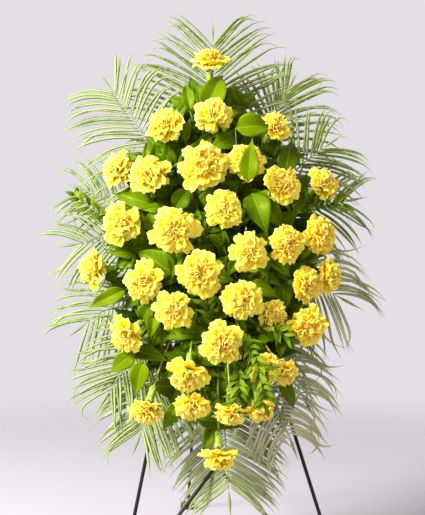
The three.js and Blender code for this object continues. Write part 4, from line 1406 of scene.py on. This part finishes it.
def blades(base: Array, tip: Array, width: Array, shape: Shape, random: Generator,
           cells: tuple[int, int], roll: float) -> Array:
    """Leaf blades: arched by 0.12 length sin(pi t), folded up toward their edges, waved by
    |s|^1.5 sin(3.2 pi t + phase) and hanging by t^3 at the tip.

    Args:
        base: where each blade starts, (count, 3).
        tip: where it ends, (count, 3).
        width: greatest width, (count,).
        shape: the outline.
        random: for the leaves' own differences.
        cells: faces along and across.
        roll: the most that a blade rolls about its length, in radians.

    Returns:
        Points, (count, rows, columns, 3).
    """
    draws = Draws(random, len(base))
    length = behind(np.linalg.norm(tip - base, axis=-1), 3)
    along = unit(tip - base)
    side = unit(np.cross([0.0, 0.0, 1.0], along))
    normal = unit(np.cross(along, side))
    normal *= np.where(normal[:, 2:] < 0, -1, 1)
    turn = draws.around(roll, 1)
    normal = normal * np.cos(turn) + side * np.sin(turn)
    across = np.cross(along, normal)
    t = behind(np.linspace(0, 1, cells[0] + 1) ** 0.9, 2)
    s = behind(np.linspace(-1, 1, cells[1] + 1), 1)
    half = behind(width / 2, 3) * np.maximum(shape.half_width(t), 0.012)
    phase, fold = draws.phases(3), draws.between(0.15, 0.6, 3)
    wave = 0.03 * length * np.abs(s) ** 1.5 * np.sin(3.2 * np.pi * t + phase + 1.4 * np.sign(s))
    hang = draws.between(0.0, 0.07, 3) * length * t ** 3
    rise = 0.12 * length * np.sin(np.pi * t) + fold * np.abs(s) * half + wave - hang
    base, along, across, normal = (vectors[:, None, None] for vectors in (base, along, across, normal))
    return base + along * t * length + across * s * half + normal * rise


@dataclass(frozen=True)
class Leaf:
    """A broad leaf: base, tip and width in the leaning frame, and tone from dark 0 to bright 1, its
    painted shade and light.
    """

    base: Point
    tip: Point
    width: float
    tone: float


@dataclass(frozen=True)
class Branch:
    """Leafy twigs that grow from one knot in the foam, and the heights that they fill."""

    name: str
    knot: Point
    low: float
    high: float
    twigs: tuple[tuple[Leaf, ...], ...]

    def holds(self, points: Array) -> Array:
        """Which points lie between its heights."""
        return (points[:, 1] >= self.low) & (points[:, 1] < self.high)


BRANCHES = [Branch(*row, tuple(tuple(Leaf(*leaf) for leaf in twig) for twig in twigs)) for *row, twigs in (
    ("upper", (0, 58, 50), 95, math.inf, (
        (((-10, 255, 115), (20, 345, 85), 48, 0.95), ((-40, 260, 115), (-50, 325, 90), 24, 0.7),
         ((-50, 195, 125), (-40, 250, 115), 16, 0.75)),
        (((-55, 115, 125), (5, 230, 112), 50, 0.6), ((-75, 160, 112), (-100, 205, 98), 32, 0.3),
         ((40, 205, 125), (-10, 180, 132), 34, 0.55)),
        (((40, 210, 162), (112, 216, 145), 44, 0.8), ((60, 100, 205), (68, 178, 210), 34, 0.9),
         ((130, 145, 112), (145, 215, 90), 38, 0.1), ((35, 100, 135), (25, 145, 130), 20, 0.25)),
        (((-120, 160, 118), (-115, 212, 108), 14, 0.7), ((-135, 150, 110), (-152, 192, 95), 20, 0.65),
         ((-105, 80, 125), (-182, 112, 95), 34, 0.75), ((-90, 72, 140), (-124, 68, 135), 18, 0.6)),
    )),
    ("middle", (0, 0, 24), -85, 95, (
        (((68, 92, 160), (96, 8, 165), 46, 0.5), ((72, 96, 148), (128, 28, 138), 46, 0.6),
         ((70, 10, 150), (115, 12, 140), 24, 0.9), ((95, -15, 150), (137, -56, 138), 28, 1.0)),
        (((62, -65, 150), (116, -90, 135), 28, 0.75), ((120, -55, 120), (126, -112, 115), 36, 0.4),
         ((45, -25, 150), (22, -58, 155), 22, 0.6), ((18, -2, 155), (-12, 20, 158), 18, 0.3)),
        (((-65, 70, 145), (-35, 112, 145), 34, 0.3), ((-110, 30, 135), (-105, 74, 132), 22, 0.7)),
        (((-65, -48, 140), (-138, 0, 125), 46, 0.6), ((-62, -10, 140), (-70, -58, 142), 30, 0.5),
         ((-150, -70, 120), (-222, -98, 85), 28, 0.85), ((-190, -45, 85), (-158, -32, 95), 18, 0.3)),
    )),
    ("lower", (0, -58, 50), -math.inf, -85, (
        (((-120, -122, 120), (-98, -85, 130), 30, 0.55), ((-100, -115, 130), (-105, -158, 128), 26, 0.75),
         ((-135, -175, 108), (-68, -196, 122), 30, 0.15), ((-130, -178, 118), (-182, -212, 80), 32, 0.8),
         ((-118, -195, 125), (-132, -254, 100), 34, 0.85)),
        (((-42, -176, 122), (22, -206, 125), 34, 0.2),),
        (((-55, -262, 112), (-88, -314, 90), 26, 0.5), ((-25, -290, 105), (58, -306, 98), 30, 0.3),
         ((5, -300, 88), (-18, -345, 80), 26, 0.4)),
        (((10, -205, 115), (15, -268, 100), 28, 0.15), ((28, -195, 125), (54, -234, 112), 32, 0.25),
         ((118, -225, 105), (142, -275, 75), 24, 0.3)),
    )),
)]


@dataclass(frozen=True)
class Foliage:
    """Broad leaves on woody twigs, and the leaves that fill the gaps behind the blooms, kept dark as
    painted shade.
    """

    layout: Layout
    thickness: float = 0.45
    bow: float = 5.0
    thinning: float = 0.35
    fork_share: float = 0.72
    trunk_radius: float = 1.7
    stalk_radius: float = 1.3
    leaf_seed: int = 300
    fill_twigs: int = 104
    fill_leaves: int = 5
    fill_middle: float = 15.0
    fill_reach: Pair = (168.0, 285.0)
    fill_behind: Pair = (48.0, 80.0)
    fill_length: Pair = (46.0, 68.0)
    fill_width: Pair = (26.0, 38.0)
    # Painted shade: the fill leaves take only the darker tones.
    fill_shade_tones: Pair = (0.0, 0.5)
    fill_scatter: float = 8.0
    fill_heart_depth: float = 40.0
    fill_spread: Point = (1.3, 1.0, 0.8)
    fill_turn: float = 0.6
    fill_lift: Pair = (-0.25, 0.45)
    fill_outward: float = 0.55
    fill_apart: float = 4.0
    fill_stand: float = 3.0
    fill_radius: float = 1.6
    fill_seed: int = 41
    foam_x: Pair = (-48.0, 48.0)
    foam_v: Pair = (-100.0, 95.0)
    foam_front: float = 70.0

    def stalks(self, sheets: Sheets, starts: Array, ends: Array, radius: float) -> None:
        """Adds thin tapered twigs that bow a little forward between their ends.

        Args:
            sheets: what they are added to.
            starts: (count, 3).
            ends: (count, 3).
            radius: at the start.
        """
        t = np.linspace(0, 1, 6)
        lines = bezier(starts, (starts + ends) / 2 + np.array([0.0, 0.0, self.bow]), ends, t)
        sheets.add(self.layout.leaning(tubes(lines, radius * (1 - self.thinning * t), sides=6)), ring=True)

    def dome(self, x: Array, v: Array) -> Array:
        """Depth of the flowers' dome: 185 - 80 (x / 205)^2 - 78 (v / 355)^2."""
        return 185 - 80 * (x / 205) ** 2 - 78 * (v / 355) ** 2

    def fill_lines(self, draws: Draws) -> tuple[Array, Array]:
        """Starts and ends of the fill twigs. The ends are spread in a golden spiral over the dome,
        narrower at its top and bottom, and lie some way behind it.

        Args:
            draws: for the twigs' own differences.

        Returns:
            Starts and ends, (twigs, 3).
        """
        number = np.arange(self.fill_twigs)
        reach = np.sqrt((number + 0.5) / self.fill_twigs)
        angle = GOLDEN_TURN * number
        x = self.fill_reach[0] * reach * np.sin(angle) + draws.around(self.fill_scatter)
        v = self.fill_middle + self.fill_reach[1] * reach * np.cos(angle) + draws.around(self.fill_scatter)
        x *= 1 - 0.35 * np.abs(v / 320) ** 1.5
        ends = np.stack([x, v, self.dome(x, v) - draws.between(*self.fill_behind)], axis=-1)
        inside = np.clip(x * 0.35, *self.foam_x), np.clip(v * 0.33, *self.foam_v)
        return np.stack([*inside, np.full(len(x), self.foam_front)], axis=-1), ends

    def fill(self) -> tuple[Array, ...]:
        """Fill leaves stand round the ends of their twigs and lean outward.

        Returns:
            Bases, tips, widths, darker tones of painted shade, twig starts and twig ends.
        """
        draws = Draws(np.random.default_rng(self.fill_seed), self.fill_twigs)
        starts, ends = self.fill_lines(draws)
        heart = np.array([0.0, self.fill_middle, self.fill_heart_depth])
        out = unit((ends - heart) * self.fill_spread)
        bases, tips, widths = [], [], []
        for i in range(self.fill_leaves):
            turn = 2 * np.pi * (i / self.fill_leaves) + draws.around(self.fill_turn)
            plane = np.stack([np.cos(turn), np.sin(turn), draws.between(*self.fill_lift)], axis=-1)
            way = unit(plane + self.fill_outward * out)
            length = draws.between(*self.fill_length, 1)
            bases.append(ends - out * (self.fill_apart * i) + way * self.fill_stand)
            tips.append(bases[-1] + way * length)
            widths.append(draws.between(*self.fill_width))
        tones = draws.random.uniform(*self.fill_shade_tones, self.fill_leaves * self.fill_twigs)
        return np.concatenate(bases), np.concatenate(tips), np.concatenate(widths), tones, starts, ends

    def build(self) -> None:
        """Makes the leaves and twigs of each branch, with the fill leaves shared out by height."""
        bases, tips, widths, tones, starts, ends = self.fill()
        for number, branch in enumerate(BRANCHES):
            random = np.random.default_rng(self.leaf_seed + number)
            leaves = [leaf for twig in branch.twigs for leaf in twig]
            base, tip, width, tone = (np.array([getattr(leaf, name) for leaf in leaves], float)
                                      for name in ("base", "tip", "width", "tone"))
            grid = blades(base, tip, width, Shape.OVATE, random, cells=(12, 8), roll=0.12)
            # Each broad leaf's tone from the table is its painted light and shade.
            sheets = Sheets().add(self.layout.leaning(grid), tone=behind(tone, 2))
            mine = branch.holds(bases)
            grid = blades(bases[mine], tips[mine], widths[mine], Shape.OVATE, random, cells=(8, 5), roll=0.5)
            sheets.add(self.layout.leaning(grid), tone=behind(tones[mine], 2))
            node = f"leaves_{branch.name}"
            sheets.build(f"leaf_blades_{branch.name}", LEAVES, "leaf", (node,), self.thickness)

            wood = Sheets()
            knot = np.array(branch.knot, float)
            for twig in branch.twigs:
                feet = np.array([leaf.base for leaf in twig], float)
                fork = knot + self.fork_share * (feet.mean(axis=0) - knot)
                self.stalks(wood, knot[None], fork[None], self.trunk_radius)
                self.stalks(wood, np.broadcast_to(fork, feet.shape), feet, self.stalk_radius)
            near = branch.holds(ends)
            self.stalks(wood, starts[near], ends[near], self.fill_radius)
            wood.build(f"twigs_{branch.name}", BARK, "leaf", (node,))


@dataclass(frozen=True)
class Sprigs:
    """Sprigs of small narrow leaves in pairs on thin stems."""

    layout: Layout
    stems: tuple[tuple[Point, ...], ...] = (
        ((-145, 70, 118), (-175, 64, 108), (-214, 82, 94), (-252, 115, 80)),
        ((135, 62, 115), (160, 84, 108), (199, 90, 96), (237, 96, 82)),
        ((50, -150, 145), (56, -172, 165), (72, -198, 184), (88, -224, 186)),
        ((56, -200, 140), (62, -226, 134), (66, -244, 128), (78, -262, 112)),
        ((58, -190, 150), (72, -214, 182), (82, -244, 188), (84, -272, 176)),
        ((70, -130, 140), (92, -140, 160), (112, -150, 164), (130, -162, 156)),
        ((40, -196, 140), (46, -222, 162), (44, -248, 170), (34, -270, 162)),
        ((-20, -6, 120), (-16, 8, 134), (-10, 24, 146), (-4, 40, 150)),
        ((5, -130, 120), (-2, -118, 136), (-8, -104, 148), (-14, -88, 152)),
    )
    knot: Point = (0.0, -28.0, 50.0)
    spacing: float = 10.5
    leaf_length: float = 33.0
    leaf_width: float = 8.2
    leaf_thickness: float = 0.35
    length_spread: Pair = (0.6, 1.05)
    width_spread: Pair = (0.8, 1.1)
    lift: Pair = (-0.35, 0.5)
    ahead: float = 0.8
    aside: Pair = (0.2, 1.3)
    upward: float = 1.5
    tones: Pair = (0.3, 0.95)
    root_bow: float = 6.0
    stem_radii: Pair = (1.5, 0.7)
    seed: int = 88

    def line(self, stem: Array, t: Array) -> Array:
        """A smooth line through four points: the cubic that meets them at 0, 1/3, 2/3 and 1.

        Args:
            stem: the points, (4, 3).
            t: shares of the way.

        Returns:
            Points, (len(t), 3).
        """
        places = np.array([0, 1, 2, 3]) / 3
        weights = [np.prod([(t - p) / (q - p) for p in places if p != q], axis=0) for q in places]
        return np.stack(weights, axis=-1) @ stem

    def leaf_grid(self, stem: Array, length: float, random: Generator) -> Array:
        """Pairs of leaves evenly along a stem, which stand ahead and aside and lift a little.

        Args:
            stem: the stem's four points.
            length: of the stem.
            random: for the leaves' own differences.

        Returns:
            Points, (leaves, rows, columns, 3).
        """
        pairs = int(length / self.spacing)
        draws = Draws(random, 2 * pairs)
        place = np.repeat((np.arange(pairs) + 0.6) / pairs, 2)
        side = np.tile([-1.0, 1.0], pairs)[:, None]
        base = self.line(stem, place)
        ahead = unit(self.line(stem, place + 0.01) - base)
        aside = unit(np.cross([0.0, 0.0, 1.0], ahead))
        lift = draws.between(*self.lift, 1) * np.array([0.0, 0.0, 1.0])
        way = unit(ahead * self.ahead + aside * side * draws.between(*self.aside, 1) + self.upward * lift)
        tip = base + way * (self.leaf_length * draws.between(*self.length_spread, 1))
        width = self.leaf_width * draws.between(*self.width_spread)
        return blades(base, tip, width, Shape.LANCE, random, cells=(6, 4), roll=0.6)

    def build(self) -> None:
        """Makes the stems and the pairs of leaves on them."""
        random = np.random.default_rng(self.seed)
        leaves, wood = Sheets(), Sheets()
        knot = np.array(self.knot)
        for row in self.stems:
            stem = np.array(row, float)
            line = self.line(stem, np.linspace(0, 1, 14))
            bend = (knot + stem[0]) / 2 + [0, 0, self.root_bow]
            root = bezier(knot, bend, stem[0], np.linspace(0, 1, 8))
            whole = np.concatenate([root[:-1], line])
            radii = np.linspace(*self.stem_radii, len(whole))
            wood.add(self.layout.leaning(tubes(whole[None], radii, sides=6)), ring=True)
            grid = self.leaf_grid(stem, np.linalg.norm(np.diff(line, axis=0), axis=-1).sum(), random)
            tone = Draws(random, len(grid)).between(*self.tones, 2)
            leaves.add(self.layout.leaning(grid), tone=tone)
        leaves.build("sprig_leaves", SPRIG_LEAVES, "sprig", ("sprigs",), self.leaf_thickness)
        wood.build("sprig_stems", BARK, "sprig", ("sprigs",))


@dataclass(frozen=True)
class Easel:
    """The wire easel: two front legs, a back leg, braces, a stay, foot caps and a top bracket."""

    layout: Layout
    top: Point = (-9.0, 0.0, 750.0)
    left_foot: Point = (-161.0, -170.0, 0.0)
    right_foot: Point = (226.0, -170.0, 0.0)
    back_foot: Point = (-56.0, 410.0, 0.0)
    wire: float = 3.25
    gap: float = 0.4
    leg_head: float = 746.0
    leg_foot: float = 3.2
    brace_top: Pair = (6.0, 199.0)
    brace_apart: float = 2.6
    brace_inwards: float = 10.0
    brace_foot: float = 4.2
    crossbar_height: float = 690.0
    crossbar_wire: float = 2.6
    stay_back_height: float = 240.0
    stay_wire: float = 2.0
    stay_apart: float = 4.5
    stay_clear: Pair = (0.2, 0.1)
    stay_drop: float = 2.0
    pin: float = 2.4
    pin_reach: float = 1.9
    cap_size: Pair = (34.0, 26.0)
    cap_inwards: float = 7.0
    cap_heights: Sizes = (0.0, 0.0, 0.5, 1.6, 9.0, 12.5, 14.4, 15.0, 15.0)
    cap_insets: Sizes = (16.0, 1.6, 0.6, 0.0, 0.2, 0.9, 2.4, 4.6, 16.0)

    def at_height(self, line: Array, height: float) -> Array:
        """The point of a straight line at a height."""
        return line[0] + (line[1] - line[0]) * (height - line[0][2]) / (line[1][2] - line[0][2])

    def leg(self, foot: Point, shift: Point) -> Array:
        """A leg's two ends: its head is moved by shift at the bracket, and it stands in its cap."""
        head, end = (self.at_height(np.array([self.top, foot]), at) for at in (self.leg_head, self.leg_foot))
        return np.stack([head + np.array(shift), end])

    def lines(self) -> dict[str, Array]:
        """The middle lines of the wires.

        Returns:
            Two ends of each wire, (2, 3), by its name.
        """
        lines = {
            "leg_left": self.leg(self.left_foot, (-5.0, 0.0, 0.0)),
            "leg_right": self.leg(self.right_foot, (5.0, 0.0, 0.0)),
            "back_leg": self.leg(self.back_foot, (0.0, 12.0, 0.0)),
        }
        x, height = self.brace_top
        y = self.at_height(lines["leg_left"], height)[1]
        for name, foot, side in (("brace_left", self.left_foot, -1), ("brace_right", self.right_foot, 1)):
            end = [foot[0] - side * self.brace_inwards, foot[1], self.brace_foot]
            lines[name] = np.array([[x + side * self.brace_apart, y, height], end])
        return lines

    def bars(self, ends: Array, radius: float, sides: int = 16) -> Array:
        """Round bars with rounded ends, in metres."""
        return self.layout.upright(domed(ends, radius, sides))

    def build_wires(self) -> None:
        """Round wires with rounded ends, the crossbar welded to the right leg, and the stay."""
        lines = self.lines()
        for name, line in lines.items():
            sheets = Sheets().add(self.bars(line[None], self.wire), ring=True)
            if name == "leg_right":
                end = self.at_height(lines["leg_left"], self.crossbar_height)
                end = end + [self.wire + 3 * self.gap, 0, 0]
                bar = np.stack([self.at_height(line, self.crossbar_height), end])
                sheets.add(self.bars(bar[None], self.crossbar_wire), ring=True)
            sheets.build(f"wire_{name}", POWDER_COAT, "black_wire", (f"easel_{name}",))
        self.build_stay(lines)

    def build_stay(self, lines: dict[str, Array]) -> None:
        """Two thin wires side by side from the braces to the back leg, with pins at both ends.

        Args:
            lines: the middle lines of the wires.
        """
        reach = self.wire + self.gap + self.pin
        front = lines["brace_left"][0] + [0, reach + self.stay_clear[0], -self.stay_drop]
        front[0] = self.brace_top[0]
        slope = math.atan2(self.back_foot[1], self.top[2])
        clear = np.array([0, reach / math.cos(slope) + self.stay_clear[1], 0])
        back = self.at_height(lines["back_leg"], self.stay_back_height) - clear
        across = np.array([self.stay_apart, 0, 0])
        wires = np.array([[front + side * across, back + side * across] for side in (1, -1)])
        half_pin = self.pin_reach * across
        pins = np.array([[end - half_pin, end + half_pin] for end in (front, back)])
        sheets = Sheets().add(self.bars(wires, self.stay_wire, sides=12), ring=True)
        sheets.add(self.bars(pins, self.pin, sides=12), ring=True)
        sheets.build("wire_stay", POWDER_COAT, "black_wire", ("easel_stay",))

    def build_caps(self) -> None:
        """Foot caps: rings |x/a|^4 + |y/b|^4 = 1, drawn in at the rounded top and bottom."""
        ring = np.stack([np.sign(value) * np.abs(value) ** 0.5 for value in circle(32)], axis=-1)
        half = np.array(self.cap_size) / 2 - np.array(self.cap_insets)[:, None]
        body = np.maximum(half, 0.2)[:, None] * ring
        heights = np.broadcast_to(behind(np.array(self.cap_heights), 2), (*body.shape[:2], 1))
        body = np.concatenate([body, heights], axis=-1)
        feet = {"left": (self.left_foot, 1), "right": (self.right_foot, -1), "back": (self.back_foot, 0)}
        for name, (foot, side) in feet.items():
            middle = np.array([foot[0] + side * self.cap_inwards, foot[1], 0.0])
            sheets = Sheets().add(self.layout.upright(body + middle)[None], ring=True)
            sheets.build(f"cap_{name}", VINYL, "vinyl_cap", (f"easel_foot_{name}",))


@dataclass(frozen=True)
class Studio:
    """Floor, light and camera."""

    layout: Layout
    camera_distance: float = 2000.0
    camera_height: float = 574.0
    focal_pixels: float = 1053.0
    picture_height: float = 515.0
    backdrop: str = "E9E4EA"
    backdrop_strength: float = 0.95
    floor_radii: Sizes = (0.001, 2.0, 6.0, 20.0)
    lit_point: Point = (0.0, -0.1, 0.55)

    def build_floor(self) -> None:
        """A round floor with a rim too far away to see."""
        cosine, sine = circle(64)
        ring = np.stack([cosine, sine, 0 * sine], axis=-1)
        points = (behind(np.array(self.floor_radii), 2) * ring).reshape(-1, 3)
        index = np.arange(len(points)).reshape(len(self.floor_radii), -1)
        after = np.roll(index, -1, axis=1)
        quads = np.stack([index[:-1], index[1:], after[1:], after[:-1]], axis=-1).reshape(-1, 4)
        mesh = bpy.data.meshes.new("studio_floor")
        mesh.from_pydata(points, [], quads.tolist() + [index[0].tolist()])
        mesh.materials.append(FloorFinish("floor_finish").material())
        floor = show("studio_floor", mesh)

    def build_world(self) -> None:
        """A pale surround that lights everything softly."""
        world = bpy.data.worlds.new("studio_world")
        world.use_nodes = True
        background = world.node_tree.nodes["Background"]
        background.inputs["Color"].default_value = tint(self.backdrop)
        background.inputs["Strength"].default_value = self.backdrop_strength
        bpy.context.scene.world = world
        bpy.context.scene.view_settings.view_transform = "Standard"

    def add_light(self, name: str, at: Point, size: float, power: float) -> None:
        """A square soft light that looks at the middle of the spray.

        Args:
            name: the light's name.
            at: where it hangs, in metres.
            size: its side in metres.
            power: in watts.
        """
        lamp = bpy.data.lights.new(name, "AREA")
        lamp.size = size
        lamp.energy = power
        light = show(name, lamp)
        light.location = at
        toward = Vector(self.lit_point) - Vector(at)
        light.rotation_euler = toward.to_track_quat("-Z", "Y").to_euler()

    def build_camera(self) -> None:
        """A level camera at the height of the spray's middle, in front of the leaning frame's zero."""
        view = bpy.data.cameras.new("studio_camera")
        view.sensor_width = 36.0
        view.lens = view.sensor_width * self.focal_pixels / self.picture_height
        camera = show("studio_camera", view)
        camera.location = self.layout.upright(np.array([0.0, -self.camera_distance, self.camera_height]))
        camera.rotation_euler = (math.pi / 2, 0, 0)
        bpy.context.scene.camera = camera

    def build(self) -> None:
        """Makes the camera, the floor, the surround and the lights."""
        self.build_camera()
        self.build_floor()
        self.build_world()
        self.add_light("key_light", at=(-2.2, -1.85, 2.1), size=1.0, power=290.0)
        self.add_light("fill_light", at=(2.0, -1.8, 1.0), size=1.8, power=4.0)


def dress(name: str, finish: Finish) -> None:
    """Gives a CAD node that stays a finish in place of its plain one.

    Args:
        name: the node.
        finish: what it is dressed in.
    """
    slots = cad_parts[name].data.materials
    slots.clear()
    slots.append(finish.material())


def main() -> None:
    """Builds the studio and the object's sub-assemblies in order, and reports each."""
    layout = Layout()
    Studio(layout).build()
    log.info("studio made")
    easel = Easel(layout)
    easel.build_wires()
    easel.build_caps()
    dress("easel_top_bracket", POWDER_COAT)
    dress("foam_tray", TRAY_PLASTIC)
    dress("floral_foam", FOAM)
    log.info("easel, tray and foam made")
    Palms(layout).build()
    log.info("palm fronds made")
    Foliage(layout).build()
    Sprigs(layout).build()
    log.info("leaves and sprigs made")
    carnations = Carnations(layout)
    carnations.build_stems()
    carnations.build_blooms()
    log.info("carnations made")


if __name__ == "__main__":
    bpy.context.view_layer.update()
    main()
